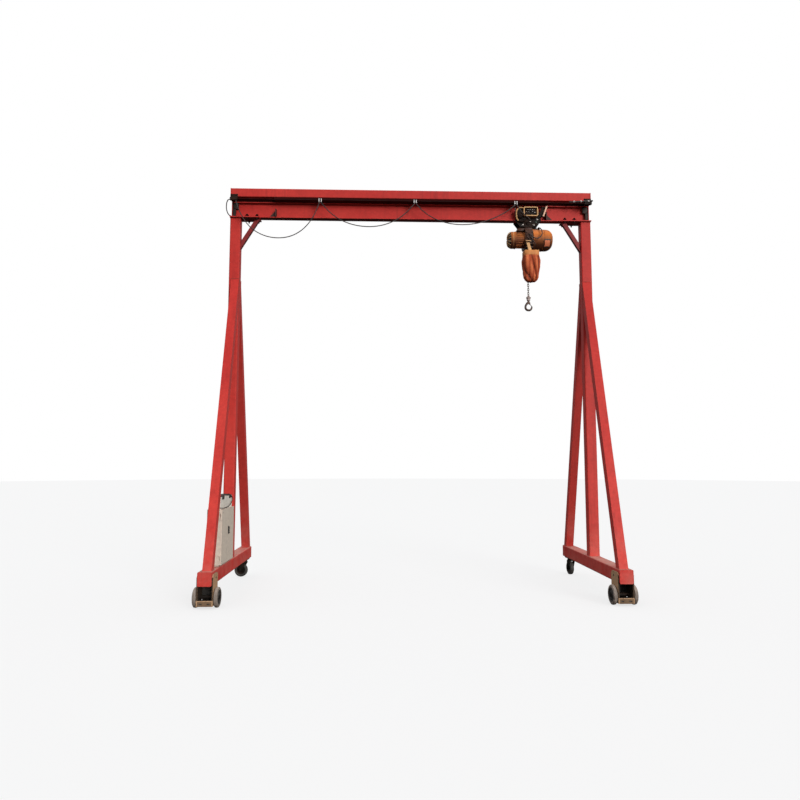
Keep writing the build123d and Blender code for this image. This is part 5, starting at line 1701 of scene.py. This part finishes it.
def front_camera(settings):
    """The camera, low in front of the crane and looking a little up."""
    lens = bpy.data.cameras.new("camera")
    lens.lens = settings.focal_length
    lens.sensor_width = SENSOR_WIDTH
    camera = bpy.data.objects.new("camera", lens)
    camera.location = settings.camera_place
    camera.rotation_euler = (math.pi / 2 + settings.camera_pitch, 0.0, -settings.camera_yaw)
    return camera


class CRANE_OT_stage(Operator):
    """Set out the pale floor, the soft lights and the camera"""
    bl_idname = "crane.stage"
    bl_label = "Stage"

    def execute(self, context):
        settings = context.scene.crane_stage
        scene = context.scene
        scene.view_settings.view_transform = "Standard"
        pale_floor(settings)
        scene.world = soft_sky(settings)
        scene.collection.objects.link(key_light(settings))
        scene.camera = front_camera(settings)
        scene.collection.objects.link(scene.camera)
        return {"FINISHED"}


OPERATORS = (
    CRANE_OT_finishes, CRANE_OT_festoon, CRANE_OT_clip_ties, CRANE_OT_chain_bag, CRANE_OT_motor,
    CRANE_OT_control_cover, CRANE_OT_housing_parts, CRANE_OT_trolley_drive, CRANE_OT_switch_box,
    CRANE_OT_bumper_lip, CRANE_OT_load_chain, CRANE_OT_hook, CRANE_OT_front_wheels, CRANE_OT_castors,
    CRANE_OT_flaps, CRANE_OT_welds, CRANE_OT_bolts, CRANE_OT_cabinet, CRANE_OT_stage,
)
SETTINGS = {
    "crane_paints": CranePaints,
    "crane_cables": CraneCables,
    "crane_bag": CraneBag,
    "crane_hoist": CraneHoist,
    "crane_wheels": CraneWheels,
    "crane_fasteners": CraneFasteners,
    "crane_stage": CraneStage,
}


class CRANE_PT_looks(Panel):
    """The crane's settings, and a button for each group of its pieces"""
    bl_idname = "CRANE_PT_looks"
    bl_label = "Crane looks"
    bl_space_type = "VIEW_3D"
    bl_region_type = "UI"
    bl_category = "Crane"

    def draw(self, context):
        for attribute, group in SETTINGS.items():
            box = self.layout.box()
            for name in group.__annotations__:
                box.prop(getattr(context.scene, attribute), name)
        for operator in OPERATORS:
            self.layout.operator(operator.bl_idname)


def register():
    for made in (*SETTINGS.values(), *OPERATORS, CRANE_PT_looks):
        bpy.utils.register_class(made)
    for attribute, group in SETTINGS.items():
        setattr(bpy.types.Scene, attribute, PointerProperty(type=group))


def unregister():
    for attribute in SETTINGS:
        delattr(bpy.types.Scene, attribute)
    for made in reversed((*SETTINGS.values(), *OPERATORS, CRANE_PT_looks)):
        bpy.utils.unregister_class(made)


def main():
    register()
    random.seed(3)
    for operator in OPERATORS:
        module, name = operator.bl_idname.split(".")
        getattr(getattr(bpy.ops, module), name)()


if __name__ == "__main__":
    main()
